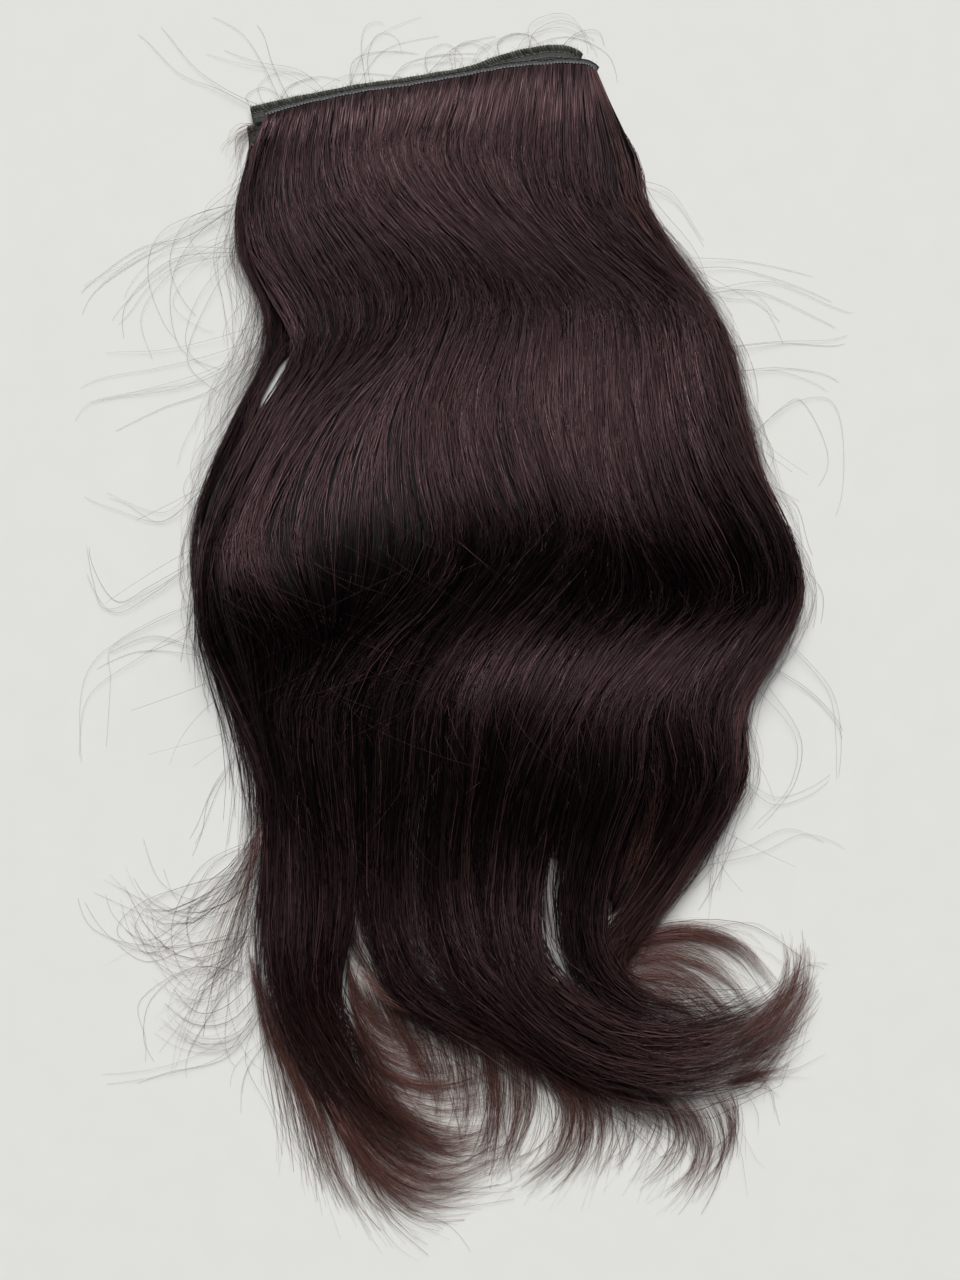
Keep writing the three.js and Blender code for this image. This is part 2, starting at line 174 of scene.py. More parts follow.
def through(stops, values, at):
    # cubic Hermite curve through the values at rising stops, each slope the difference of its neighbours
    slopes = np.gradient(values, stops)
    i = np.clip(np.searchsorted(stops, at) - 1, 0, len(stops) - 2)
    gap = stops[i + 1] - stops[i]
    t = np.clip((at - stops[i]) / gap, 0, 1)
    return ((2 * t ** 3 - 3 * t ** 2 + 1) * values[i] + (t ** 3 - 2 * t ** 2 + t) * gap * slopes[i]
            + (3 * t ** 2 - 2 * t ** 3) * values[i + 1] + (t ** 3 - t ** 2) * gap * slopes[i + 1])


def alongSeam(weft, share):
    # point, downward direction and whole length at a share of the seam, on a Hermite curve through its stitches
    stops = np.array(weft["seam"], float)
    reach = np.concatenate([[0], np.cumsum(np.hypot(*np.diff(stops, axis=0).T))])
    length = reach[-1]

    def spot(at):
        return np.stack([through(reach, stops[:, k], np.clip(at, 0, length)) for k in (0, 1)], -1)

    at = np.asarray(share) * length
    run = spot(at + .5) - spot(at - .5)
    tangent = run / np.linalg.norm(run, axis=-1, keepdims=True)
    return spot(at), np.stack([tangent[..., 1], -tangent[..., 0]], -1), length


def downFall(column, y):
    # one column of the sections at heights y on the table, held still past the first and the last section
    return through(sectionY[::-1], column[::-1], np.clip(y, sectionY[-1], sectionY[0]))


def acrossLines(rows, u):
    # value at a fractional lock line, straight between neighbouring lines: rows is (section, line), u (strand, section)
    i = np.clip(u.astype(int), 0, rows.shape[1] - 2)
    r = np.arange(rows.shape[0])
    return mix(rows[r, i], rows[r, i + 1], u - i)


def sheetHeight(weft, x, y, rootY, h):
    # underside of the weft's sheet plus a share h of its depth: both grow from the sewn edge down over looseRun,
    # ride on the wave and on a second, lower wave that only the right of the fall has, and thin out to the sides
    inside = np.minimum(x - downFall(sectionX[:, 0], y), downFall(sectionX[:, -1], y) - x)
    full = mix(fall["edgeShare"], 1, ease(inside, 0, fall["edgeReach"]))
    loose = ease(rootY - y, 0, fall["looseRun"])
    depth = downFall(sectionDepth, y)
    wave = y - fall["waveTilt"] * x + fall["waveDrop"] + fall["leftDrop"] * ease(-x, *fall["leftDropFade"])
    lift = downFall(sectionLift, wave) * (1 + fall["leftLift"] * ease(-x, *fall["leftLiftFade"]))
    low = 1 - ((y - fall["lowWaveTilt"] * x - fall["lowWaveY"]) / fall["lowWaveRun"]) ** 2
    lift = lift + fall["lowWaveLift"] * np.clip(low, 0, 1) ** 1.5 * ease(x, *fall["lowWaveFade"])
    step = weft["rank"] * (fall["hairDepth"] + fall["hairGap"])
    under = mix(weft["rank"] * fall["bandStep"],
                full * (step * depth + weft["wave"] * lift) + weft["rank"] * fall["clearance"], loose)
    return under + h * mix(fall["rootDepth"], full * fall["hairDepth"] * depth, loose)


def linesByWidth(low, high, share):
    # lock line at a share of a bundle's width: the mean spacing of the lines over the sections, summed and inverted
    lines = np.arange(len(rootShare))
    reach = np.concatenate([[0], np.cumsum(np.diff(sectionX[2:12], axis=1).mean(0))])
    start, end = np.interp([low, high], lines, reach)
    return np.interp(mix(start, end, share), reach, lines)


def besideSlit(x, y, side):
    # x kept to one side of the parting at the left: within slitReach of its middle it closes on the rim exponentially
    middle, half = (np.interp(y, fall["slitY"][::-1], fall[key][::-1]) for key in ("slitX", "slitHalf"))
    reach = fall["slitReach"]
    run = reach - half
    d = side * (x - middle)
    kept = np.where(d < reach, reach - run * (1 - np.exp(-np.clip(reach - d, 0, None) / run)), d)
    return np.where(half > 0, middle + side * kept, x)


def roundTop(side):
    # a lock is fullest along its middle: the square root of 1 less .8 of the side squared
    return np.sqrt(np.clip(1 - .8 * side ** 2, .05, 1))


def strandPoints(weft, bundle, w, h, pull):
    # control points of strands, one row of points each: the sewn root, then x across the lock lines at each section,
    # eased into the lock by blend, then v half widths beside the lock's middle and h of its depth above its underside.
    # w is each strand's share of the bundle's width; pull closes it on its clump's share as it goes down.
    used = sectionY >= bundle.get("sheetEnd", fall["partingY"])
    ys, rows = sectionY[used], sectionX[used]
    steps = len(ys)
    table = np.array(locks[bundle["lock"]], float) if "lock" in bundle else np.zeros((0, 5))
    tail = table[bundle.get("after", 4):]
    along = np.linspace(0, 1, 2 + steps + len(tail))
    wAt = mix(w[:, None], pull["w"][:, None], pull["share"](along))
    wAt = wAt + pull["drift"][:, None] * np.clip(along - .15, 0, 1)
    uAt = np.clip(linesByWidth(*bundle["lines"], np.clip(wAt, -.1, 1.1)), weft["first"], weft["last"])
    vAt = (2 * wAt - 1) * pull["spread"][:, None] ** ease(along, .6, .8)
    # the root, on the band
    lineAt = np.arange(len(rootShare))
    low, high = np.interp([weft["first"], weft["last"]], lineAt, rootShare)
    share = (np.interp(uAt[:, 0], lineAt, rootShare) - low) / (high - low)
    rootPoint, down, _ = alongSeam(weft, share)
    rootXY = rootPoint + down * (weft["band"] - fall["rootTuck"])
    rootZ = weft["rank"] * fall["bandStep"] + fall["rootRise"] + fall["rootDepth"] * h
    # the sheet
    x = acrossLines(rows, uAt[:, 2:2 + steps])
    y = np.broadcast_to(ys, x.shape)
    x = besideSlit(x, y, bundle.get("slitSide", 1))
    nearXY = mix(rootXY, np.stack([x[:, 0], y[:, 0]], -1), fall["rootRun"])
    nearZ = sheetHeight(weft, nearXY[:, 0], nearXY[:, 1], rootXY[:, 1], h)
    z = sheetHeight(weft, x, y, rootXY[:, 1:2], h[:, None])
    if "blend" in bundle:
        weight = np.array([bundle["blend"].get(int(k), 0.0) for k in ys])
        order = np.argsort(table[:, 1])
        lx, lh, lz, ld = (np.interp(ys, table[order, 1], table[order, k]) for k in (0, 2, 3, 4))
        side = vAt[:, 2:2 + steps]
        full = mix(fall["edgeShare"], 1,
                   ease(x - np.interp(y, sectionY[::-1], sectionX[::-1, 0]), 0, fall["edgeReach"]))
        drape = mix(1, full, ease(y, fall["partingY"], fall["partingY"] + fall["partingRun"]))
        x = mix(x, lx + side * lh, weight)
        z = mix(z, drape * (lz + h[:, None] * ld * roundTop(side)), weight)
    # the lock
    xs, yy = [rootXY[:, :1], nearXY[:, :1], x], [rootXY[:, 1:], nearXY[:, 1:], y]
    zs = [rootZ[:, None], nearZ[:, None], z]
    if len(tail):
        bend = np.gradient(table[:, :2], axis=0)[-len(tail):]
        bend /= np.linalg.norm(bend, axis=1, keepdims=True)
        side = vAt[:, 2 + steps:]
        xs.append(tail[:, 0] - bend[:, 1] * side * tail[:, 2])
        yy.append(tail[:, 1] + bend[:, 0] * side * tail[:, 2])
        zs.append(tail[:, 3] + h[:, None] * tail[:, 4] * roundTop(np.clip(side, -1, 1)))
    return np.stack([np.concatenate(part, 1) for part in (xs, yy, zs)], -1)


def smoothAlong(points, t):
    # Catmull-Rom curve through each strand's control points, at its own parameters t
    last = points.shape[1] - 1
    i = np.clip(t.astype(int), 0, last - 1)
    f = (t - i)[..., None]
    a, b, c, d = (np.take_along_axis(points, np.clip(i + k, 0, last)[..., None], 1) for k in (-1, 0, 1, 2))
    return b + .5 * f * (c - a + f * (2 * a - 5 * b + 4 * c - d + f * (3 * (b - c) + d - a)))


def evenRings(points, rings):
    # parameters along the middle strand where length and turning together grow evenly
    t = np.linspace(0, points.shape[1] - 1, 400)
    path = smoothAlong(points.mean(0, keepdims=True), t[None])[0]
    step = np.diff(path, axis=0)
    size = np.linalg.norm(step, axis=1)
    turn = np.concatenate([[0], np.arccos(np.clip((step[1:] * step[:-1]).sum(1) / (size[1:] * size[:-1]), -1, 1))])
    reach = np.concatenate([[0], np.cumsum(size / size.sum() + .9 * turn / turn.sum())])
    return np.interp(np.linspace(0, reach[-1], rings), reach, t)


def placed(name, data):
    # a new object in the scene
    made = bpy.data.objects.new(name, data)
    bpy.context.scene.collection.objects.link(made)
    return made


def addMesh(name, points, quads, caps, values=None, uv=None):
    # one mesh from whole arrays of points, quads and end faces, with values on its points and a map on its corners
    mesh = bpy.data.meshes.new(name)
    mesh.vertices.add(len(points))
    mesh.vertices.foreach_set("co", toRow(points).astype(np.float32).ravel())
    faces = [quads, *caps]
    corners = np.concatenate([face.ravel() for face in faces])
    sizes = np.concatenate([np.full(len(face), face.shape[1]) for face in faces])
    mesh.loops.add(len(corners))
    mesh.loops.foreach_set("vertex_index", corners.astype(np.int32))
    mesh.polygons.add(len(sizes))
    mesh.polygons.foreach_set("loop_start", np.concatenate([[0], np.cumsum(sizes)[:-1]]).astype(np.int32))
    mesh.update(calc_edges=True)
    mesh.polygons.foreach_set("use_smooth", np.full(len(sizes), True))
    for key, value in (values or {}).items():
        mesh.attributes.new(key, "FLOAT", "POINT").data.foreach_set("value", value.astype(np.float32))
    if uv is not None:
        layer = mesh.uv_layers.new(name="strandMap")
        layer.data.foreach_set("uv", uv[corners].astype(np.float32).ravel())
    mesh.validate()
    return placed(name, mesh)


def loftFaces(count, rings, sides):
    # quads between neighbouring rings of each of count lofts, and the faces that close their two ends
    base = (np.arange(count) * rings * sides)[:, None, None]
    j = (np.arange(rings - 1) * sides)[None, :, None]
    k = np.arange(sides)[None, None]
    n = (k + 1) % sides
    quads = np.stack(np.broadcast_arrays(base + j + k, base + j + sides + k, base + j + sides + n, base + j + n), -1)
    start = base[:, 0] + np.arange(sides)
    return quads.reshape(-1, 4), [start, (start + (rings - 1) * sides)[:, ::-1]]


def addTubes(name, paths, radius, sides=3, phase=0.0, **values):
    # round profile of a few sides carried along each path: across is the path crossed with up, over is across
    # crossed with the path, and a ring is the point plus radius times their cosine and sine mix
    tangent = np.gradient(paths, axis=1)
    tangent /= np.linalg.norm(tangent, axis=-1, keepdims=True) + 1e-9
    across = np.stack([tangent[..., 1], -tangent[..., 0], np.zeros_like(tangent[..., 0])], -1)
    across /= np.linalg.norm(across, axis=-1, keepdims=True) + 1e-9
    over = np.cross(across, tangent)
    angle = np.pi / 2 + 2 * np.pi * np.arange(sides) / sides + np.reshape(phase, (-1, 1, 1))
    ring = np.cos(angle)[..., None] * across[:, :, None] + np.sin(angle)[..., None] * over[:, :, None]
    radius = np.broadcast_to(radius, paths.shape[:2])
    points = (paths[:, :, None] + radius[..., None, None] * ring).reshape(-1, 3)
    points[:, 2] = np.maximum(points[:, 2], .03)  # nothing sinks into the table
    values = {key: np.repeat(np.broadcast_to(value, paths.shape[:2]), sides) for key, value in values.items()}
    return addMesh(name, points, *loftFaces(*paths.shape[:2], sides), values)


def triangleCount(pieces):
    # a face of n corners is n - 2 triangles
    return sum(len(piece.data.loops) - 2 * len(piece.data.polygons) for piece in pieces)


# Materials
shades = dict(
    darkest=(.0006, .0005, .0007), body=(.0021, .0014, .0018), warm=(.0095, .0047, .0047), light=(.068, .033, .027),
    # tip: the ends' own warmer brown, made paler still as painted light shining through thin hair
    tip=(.175, .079, .062), coreDark=(.0007, .0005, .0007), coreLight=(.0019, .0012, .0014),
    band=(.155, .153, .16), bandEdge=(.060, .063, .050), threadDark=(.010, .010, .011), thread=(.26, .26, .27),
    fuzz=(.075, .078, .056), wrapDark=(.020, .021, .018), wrap=(.16, .165, .14), sheen=(1.0, .60, .645),
    floor=(.805, .807, .781),
)
finish = dict(
    grain=dict(fine=1.0, fineDetail=3.0, fineShare=.6, broad=.22, broadDetail=2.0, broadShare=.4, bump=.8, deep=.0004),
    strand=dict(roughness=.40, specular=1.0, warmPower=9.0, warmShare=.75, roughFrom=.21, roughRise=.44),
    body=dict(roughness=.6, specular=.15, across=3.2, along=.03),
    band=dict(roughness=.75, specular=.25, across=2.4, along=.8, dark=(.45, .45, .45)),
    thread=dict(roughness=.6, specular=.35),
    floor=dict(roughness=.7, specular=.2, scale=60.0, detail=4.0, mottle=.985),
)


def nodeIn(tree, kind, sockets=None, **settings):
    # a node to the right of those made before it, with its settings and the plain values of its sockets
    made = tree.nodes.new(kind)
    made.location = (220 * len(tree.nodes) - 2200, 0)
    for key, value in settings.items():
        setattr(made, key, value)
    for key, value in (sockets or {}).items():
        made.inputs[key].default_value = value
    return made


def wire(tree, *steps):
    # each step is a node, its output, the node that it feeds and that one's input
    for giver, output, taker, entry in steps:
        tree.links.new(giver.outputs[output], taker.inputs[entry])


def rampOf(tree, *stops):
    # colour ramp through places and their colours
    ramp = nodeIn(tree, "ShaderNodeValToRGB")
    while len(ramp.color_ramp.elements) < len(stops):
        ramp.color_ramp.elements.new(.5)
    for element, (place, colour) in zip(ramp.color_ramp.elements, stops):
        element.position, element.color = place, (*colour, 1)
    return ramp


def newMaterial(name, look, tint=(1, 1, 1)):
    # a material, its nodes and its surface, with the roughness and the shine of its look
    made = bpy.data.materials.new(name)
    made.use_nodes = True
    surface = made.node_tree.nodes["Principled BSDF"]
    surface.inputs["Roughness"].default_value = look["roughness"]
    surface.inputs["Specular IOR Level"].default_value = look["specular"]
    surface.inputs["Specular Tint"].default_value = (*tint, 1)
    return made, made.node_tree, surface


def strandGrainGroup():
    # streaks along a direction: noise squeezed across and stretched along it, read as a colour share and a height
    group = bpy.data.node_groups.new("strandGrain", "ShaderNodeTree")
    for name, way, kind in (("Place", "INPUT", "Vector"), ("Across", "INPUT", "Float"), ("Along", "INPUT", "Float"),
                            ("Streak", "OUTPUT", "Float"), ("Height", "OUTPUT", "Float")):
        group.interface.new_socket(name, in_out=way, socket_type="NodeSocket" + kind)
    look = finish["grain"]
    enter = nodeIn(group, "NodeGroupInput")
    squeeze = nodeIn(group, "ShaderNodeCombineXYZ", {"Z": 1.0})
    stretch = nodeIn(group, "ShaderNodeVectorMath", operation="MULTIPLY")
    fine = nodeIn(group, "ShaderNodeTexNoise", {"Scale": look["fine"], "Detail": look["fineDetail"]})
    broad = nodeIn(group, "ShaderNodeTexNoise", {"Scale": look["broad"], "Detail": look["broadDetail"]})
    part = nodeIn(group, "ShaderNodeMath", {1: look["broadShare"]}, operation="MULTIPLY")
    both = nodeIn(group, "ShaderNodeMath", {1: look["fineShare"]}, operation="MULTIPLY_ADD")
    leave = nodeIn(group, "NodeGroupOutput")
    wire(group, (enter, "Across", squeeze, "X"), (enter, "Along", squeeze, "Y"), (enter, "Place", stretch, 0),
         (squeeze, 0, stretch, 1), (stretch, 0, fine, "Vector"), (stretch, 0, broad, "Vector"),
         (broad, "Fac", part, 0), (fine, "Fac", both, 0), (part, 0, both, 2),
         (both, 0, leave, "Streak"), (fine, "Fac", leave, "Height"))
    return group


strandGrain = strandGrainGroup()


def grainOn(tree, surface, look):
    # the shared grain on the piece's own map, raising the surface by its height
    place = nodeIn(tree, "ShaderNodeUVMap", uv_map="strandMap")
    grain = nodeIn(tree, "ShaderNodeGroup", node_tree=strandGrain)
    grain.inputs["Across"].default_value, grain.inputs["Along"].default_value = look["across"], look["along"]
    bump = nodeIn(tree, "ShaderNodeBump", {"Strength": finish["grain"]["bump"], "Distance": finish["grain"]["deep"]})
    wire(tree, (place, "UV", grain, "Place"), (grain, "Height", bump, "Height"), (bump, "Normal", surface, "Normal"))
    return grain


def hairStrandMaterial():
    # each strand has its own tone, the paler ones rougher; the colour warms late, towards its tip: partly the ends' own
    # warmer brown and partly painted light shining through thin hair
    look = finish["strand"]
    made, tree, surface = newMaterial("hairStrand", look, shades["sheen"])
    tone = nodeIn(tree, "ShaderNodeAttribute", attribute_name="tone")
    along = nodeIn(tree, "ShaderNodeAttribute", attribute_name="along")
    ramp = rampOf(tree, (0, shades["darkest"]), (.5, shades["body"]), (.86, shades["warm"]), (1, shades["light"]))
    late = nodeIn(tree, "ShaderNodeMath", {1: look["warmPower"]}, operation="POWER")
    some = nodeIn(tree, "ShaderNodeMath", {1: look["warmShare"]}, operation="MULTIPLY")
    warmed = nodeIn(tree, "ShaderNodeMix", {"B": (*shades["tip"], 1)}, data_type="RGBA")
    rough = nodeIn(tree, "ShaderNodeMath", {1: look["roughRise"], 2: look["roughFrom"]}, operation="MULTIPLY_ADD")
    wire(tree, (tone, "Fac", ramp, "Fac"), (along, "Fac", late, 0), (late, 0, some, 0), (some, 0, warmed, "Factor"),
         (ramp, "Color", warmed, "A"), (warmed, "Result", surface, "Base Color"),
         (tone, "Fac", rough, 0), (rough, 0, surface, "Roughness"))
    return made


def hairBodyMaterial():
    # packed hair below the loose strands: fine streaks along the fall in colour and height
    made, tree, surface = newMaterial("hairBody", finish["body"])
    grain = grainOn(tree, surface, finish["body"])
    ramp = rampOf(tree, (.25, shades["coreDark"]), (.75, shades["coreLight"]))
    wire(tree, (grain, "Streak", ramp, "Fac"), (ramp, "Color", surface, "Base Color"))
    return made


def bandMaterial():
    # tightly sewn band: dark rolled edge and paler face by the face attribute, ribbed by its stitches; a low face
    # share, as on the back weft, is painted shade
    look = finish["band"]
    made, tree, surface = newMaterial("bandCloth", look)
    grain = grainOn(tree, surface, look)
    face = nodeIn(tree, "ShaderNodeAttribute", attribute_name="face")
    shade = rampOf(tree, (.3, look["dark"]), (.7, (1, 1, 1)))
    base = nodeIn(tree, "ShaderNodeMix", {"A": (*shades["bandEdge"], 1), "B": (*shades["band"], 1)}, data_type="RGBA")
    worn = nodeIn(tree, "ShaderNodeMix", {"Factor": 1.0}, data_type="RGBA", blend_type="MULTIPLY")
    wire(tree, (grain, "Streak", shade, "Fac"), (face, "Fac", base, "Factor"), (base, "Result", worn, "A"),
         (shade, "Color", worn, "B"), (worn, "Result", surface, "Base Color"))
    return made


def threadMaterial(name, colour, dark):
    # sewing thread: each stitch has its own tone
    made, tree, surface = newMaterial(name, finish["thread"])
    tone = nodeIn(tree, "ShaderNodeAttribute", attribute_name="tone")
    ramp = rampOf(tree, (0, dark), (1, colour))
    wire(tree, (tone, "Fac", ramp, "Fac"), (ramp, "Color", surface, "Base Color"))
    return made


def floorMaterial():
    # pale painted board, faintly mottled
    look = finish["floor"]
    made, tree, surface = newMaterial("paleFloor", look)
    place = nodeIn(tree, "ShaderNodeTexCoord")
    noise = nodeIn(tree, "ShaderNodeTexNoise", {"Scale": look["scale"], "Detail": look["detail"]})
    pale = shades["floor"]
    ramp = rampOf(tree, (.3, tuple(c * look["mottle"] for c in pale)), (.7, pale))
    wire(tree, (place, "Object", noise, "Vector"), (noise, "Fac", ramp, "Fac"), (ramp, "Color", surface, "Base Color"))
    return made


strandFinish = hairStrandMaterial()
bodyFinish = hairBodyMaterial()
bandFinish = bandMaterial()
threadFinish = threadMaterial("bandThread", shades["thread"], shades["threadDark"])
fuzzFinish = threadMaterial("bandFuzz", shades["fuzz"], shades["bandEdge"])
wrapFinish = threadMaterial("bandWrap", shades["wrap"], shades["wrapDark"])
print("materials made")


def dress(piece, material, node):
    # material, body and replaced node of one piece
    piece.data.materials.append(material)
    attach(piece, "root")
    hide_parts(node)
    return piece


# Hair. Each bundle is the strands between two lock lines: how many, which lock they end in, and how their tips
# peel off it: towards is the direction, reach how far, and shortest the share of the length that the shortest have.
# blend gives how far a strand has joined its lock at each section, and a sparse bundle has no packed hair below it.
toLock = {-29: .12, -58: .4, -88: .75, -117: 1.0}
bundles = dict(
    frontLeftLock=dict(lock="left", lines=(0.5, 3.45), count=700, clumps=140, blend=toLock,
                       towards=(-.3, -1), reach=12, shortest=.72, longest=.95, bodyReach=.89),
    frontReddishLock=dict(lock="reddish", lines=(3.45, 4.5), count=320, clumps=60, blend=toLock,
                          towards=(.05, -1), reach=14, shortest=.70, longest=.90),
    frontSprayLock=dict(lock="spray", lines=(4.5, 5.5), count=340, clumps=64, blend=toLock,
                        towards=(.15, -1), reach=14, shortest=.74, longest=.92),
    frontBigCurl=dict(lock="curl", lines=(5.5, 6.6), count=400, clumps=72, blend=toLock,
                      towards=(.6, .1), reach=6, shortest=.82, longest=.98),
    frontInnerLoop=dict(lock="loop", lines=(6.6, 7.5), count=300, clumps=50, blend=toLock,
                        towards=(.1, -.6), reach=8, shortest=.62, longest=.82, bodyReach=.67),
    # the right locks' raised edge tone is painted light shining through the thin edge of the lock
    frontRightLock=dict(lock="right", lines=(7.5, 9.9), count=360, clumps=70, blend=toLock, paintedEdgeLight=.45,
                        towards=(.6, .2), reach=8, shortest=.8),
    middleFall=dict(lines=(2.0, 3.0), count=24, clumps=8, shortest=.85, bodyReach=.86),
    middleFallLeft=dict(lines=(3.0, 4.1), count=30, clumps=10, shortest=.85, bodyReach=.92),
    middleFallMid=dict(lines=(4.1, 6.0), count=24, clumps=10, shortest=.85, bodyReach=.9),
    middleFallGap=dict(lines=(6.0, 7.2), count=60, clumps=14, shortest=.88, bodyReach=.95),
    middleRightFall=dict(lines=(7.0, 8.6), count=130, clumps=30, shortest=.93, bodyReach=.99),
    middleRightLock=dict(lock="under", lines=(8.6, 10.0), count=220, clumps=44, after=3, paintedEdgeLight=.5,
                         blend={-88: .6, -117: 1.0}, towards=(.8, -.2), reach=8, shortest=.7),
    backFall=dict(lines=(1.6, 8.0), count=30, clumps=24, shortest=.85, bodyReach=.86),
    backSideLock=dict(lock="side", lines=(0.0, 1.6), count=200, clumps=40, after=3,
                      blend={-88: .6, -117: 1.0}, towards=(-.5, -.8), reach=24, shortest=.50, longest=.80,
                      slitSide=-1, bodyReach=.6),
    backWispHigh=dict(lock="wispHigh", lines=(0.0, .7), count=16, clumps=12, after=1, sheetEnd=-58,
                      towards=(-.5, -.5), reach=16, shortest=.75, fine=.5, sparse=True),
    backWispLow=dict(lock="wispLow", lines=(0.0, .7), count=14, clumps=12, after=1, sheetEnd=-88,
                     towards=(-.7, -.5), reach=16, shortest=.75, fine=.5, sparse=True),
)
strandForm = dict(
    rings=27, sides=3, deepRadius=.22, topRadius=.125, tipShare=.25, tipRun=.14,
    clumpPlace=(.15, .85), clumpRoot=.30, clumpTip=.60, clumpBias=1.6, clumpFlat=.66, clumpRound=.34, clumpRise=.11,
    wander=1.5, wanderFade=(.01, .16), tipWander=3.6, tipFade=(.62, 1.05), clumpSway=.6, ownSway=.75,
    clumpTurns=(1.5, 5.5), ownTurns=(2.5, 8.0), ripple=.85, rippleTurns=2.5, rippleFade=(-.04, .07),
    slide=.45, twist=.3, endBias=1.1, peelRun=.20, peelBias=1.4, peelTurn=.45, peelSink=.6,
    topBias=2.0, deepest=.97, heights=(.02, 1.1), crossing=.08, crossDrift=.16, drift=.03, crossHeight=1.04,
    thickShare=.13, thickTimes=1.9, thickHeights=(.9, 1.05), stragglers=.12, straggling=(1.2, 1.9),
    tone=.42, toneSpread=.14, clumpTone=.2, toneTop=.86, paleShare=.04, paleTones=(.84, 1), paintedEdgeLightRun=(.7, 1), seed=20,
)


def growStrands(name, bundle, seed):
    # strands of one bundle: shares drawn evenly across it, each pulled to its clump, wandering on slow sines,
    # and peeling off its lock towards the tip with the square of the distance
    form = strandForm
    rng = np.random.default_rng(seed)
    count, clumps = bundle["count"], bundle["clumps"]
    w = rng.random(count)
    centres = (np.arange(clumps) + rng.uniform(*form["clumpPlace"], clumps)) / clumps
    nearest = np.abs(w[:, None] - centres).argmin(1)
    inClump = np.clip((w - centres[nearest]) * clumps, -1, 1)
    h = 1 - rng.random(count) ** form["topBias"] * form["deepest"]
    h = h * (form["clumpFlat"] + form["clumpRound"] * np.sqrt(1 - inClump ** 2))
    h = h + rng.normal(0, form["clumpRise"], clumps)[nearest]
    crosses = rng.random(count) < form["crossing"]
    drift = np.where(crosses, rng.normal(0, form["crossDrift"], count), rng.normal(0, form["drift"], count))
    h = np.where(crosses, form["crossHeight"], h)
    thick = rng.random(count) < form["thickShare"]  # hairs that stick together in a thread, on top
    h = np.where(thick, rng.uniform(*form["thickHeights"], count), h).clip(*form["heights"])
    strays = rng.random(count) < form["stragglers"]
    pull = dict(w=centres[nearest], drift=drift, spread=np.where(strays, rng.uniform(*form["straggling"], count), 1.0),
                share=lambda along: mix(form["clumpRoot"], form["clumpTip"], along ** form["clumpBias"]))
    points = strandPoints(wefts[weftOf(name)], bundle, w, h, pull)
    rings = evenRings(points, form["rings"])
    longest = bundle.get("longest", 1.0)
    end = longest - (longest - bundle["shortest"]) * rng.random(count) ** form["endBias"]
    step = np.arange(form["rings"])
    # the rings between the two ends slide, so that no two strands bend in one row
    slide = rng.uniform(-form["slide"], form["slide"], (count, 1)) * np.minimum(1, np.minimum(step, step[::-1]))
    t = np.interp(step + slide, step, rings) * end[:, None]
    along = t / (points.shape[1] - 1)
    paths = smoothAlong(points, t)
    # slow sideways wander, the clump's own and the strand's own, growing to the tips
    tangent = np.gradient(paths, axis=1)
    flat = np.stack([-tangent[..., 1], tangent[..., 0]], -1)
    flat /= np.linalg.norm(flat, axis=-1, keepdims=True) + 1e-9
    grow = ease(along, *form["wanderFade"]) * form["wander"] + ease(along, *form["tipFade"]) * form["tipWander"]
    clumpTurns = rng.uniform(*form["clumpTurns"], clumps)[nearest, None]
    clumpPhase = rng.uniform(0, fullTurn, clumps)[nearest, None]
    turns, phase = rng.uniform(*form["ownTurns"], (count, 1)), rng.uniform(0, fullTurn, (count, 1))
    sway = form["clumpSway"] * swing(clumpTurns, along, clumpPhase) + form["ownSway"] * swing(turns, along, phase)
    paths[..., :2] += (grow * sway)[..., None] * flat
    # and up and down, which makes one clump catch the light and the next one lose it
    rise = swing(form["rippleTurns"] + clumpTurns, along, 3 * clumpPhase) + .5 * swing(turns, along, 2 * phase)
    paths[..., 2] += form["ripple"] * ease(along, *form["rippleFade"]) * rise
    # tips peel off
    if "towards" in bundle:
        q = np.clip((along - end[:, None]) / form["peelRun"] + 1, 0, 1) ** 2
        far = bundle["reach"] * rng.random(count) ** form["peelBias"]
        heading = np.arctan2(bundle["towards"][1], bundle["towards"][0]) + rng.normal(0, form["peelTurn"], count)
        paths[..., 0] += (far * np.cos(heading))[:, None] * q
        paths[..., 1] += (far * np.sin(heading))[:, None] * q
        paths[..., 2] *= 1 - form["peelSink"] * q * (far / bundle["reach"])[:, None]
    thin = 1 - (1 - form["tipShare"]) * ease(along / end[:, None], 1 - form["tipRun"], 1)
    size = np.where(thick, form["thickTimes"], 1.0) * mix(form["deepRadius"], form["topRadius"], h.clip(0, 1))
    radius = size[:, None] * thin * bundle.get("fine", 1.0)
    paths[..., 2] = np.maximum(paths[..., 2], radius + tableGap)
    tone = rng.normal(form["tone"], form["toneSpread"], count) + rng.normal(0, form["clumpTone"], clumps)[nearest]
    pale = rng.random(count) < form["paleShare"]
    tone = np.where(pale, rng.uniform(*form["paleTones"], count), tone.clip(0, form["toneTop"]))
    # tones raised towards the lock's right side: painted light shining through the lock's thin edge
    tone = np.minimum(tone + bundle.get("paintedEdgeLight", 0) * ease(w, *form["paintedEdgeLightRun"]), 1)
    phase = rng.uniform(-form["twist"], form["twist"], count)
    return addTubes(name, paths, radius, form["sides"], phase, tone=tone[:, None], along=along)


bodyForm = dict(
    across=15, stations=70, lowShare=.05, topShare=.5, reach=.78, inset=.85, insetRun=(.55, .75),
    narrow=.35, narrowRun=(.6, .95), closeRun=(.9, 1.0), fallCloseRun=(.93, 1.0), least=.02, mapStep=40,
)


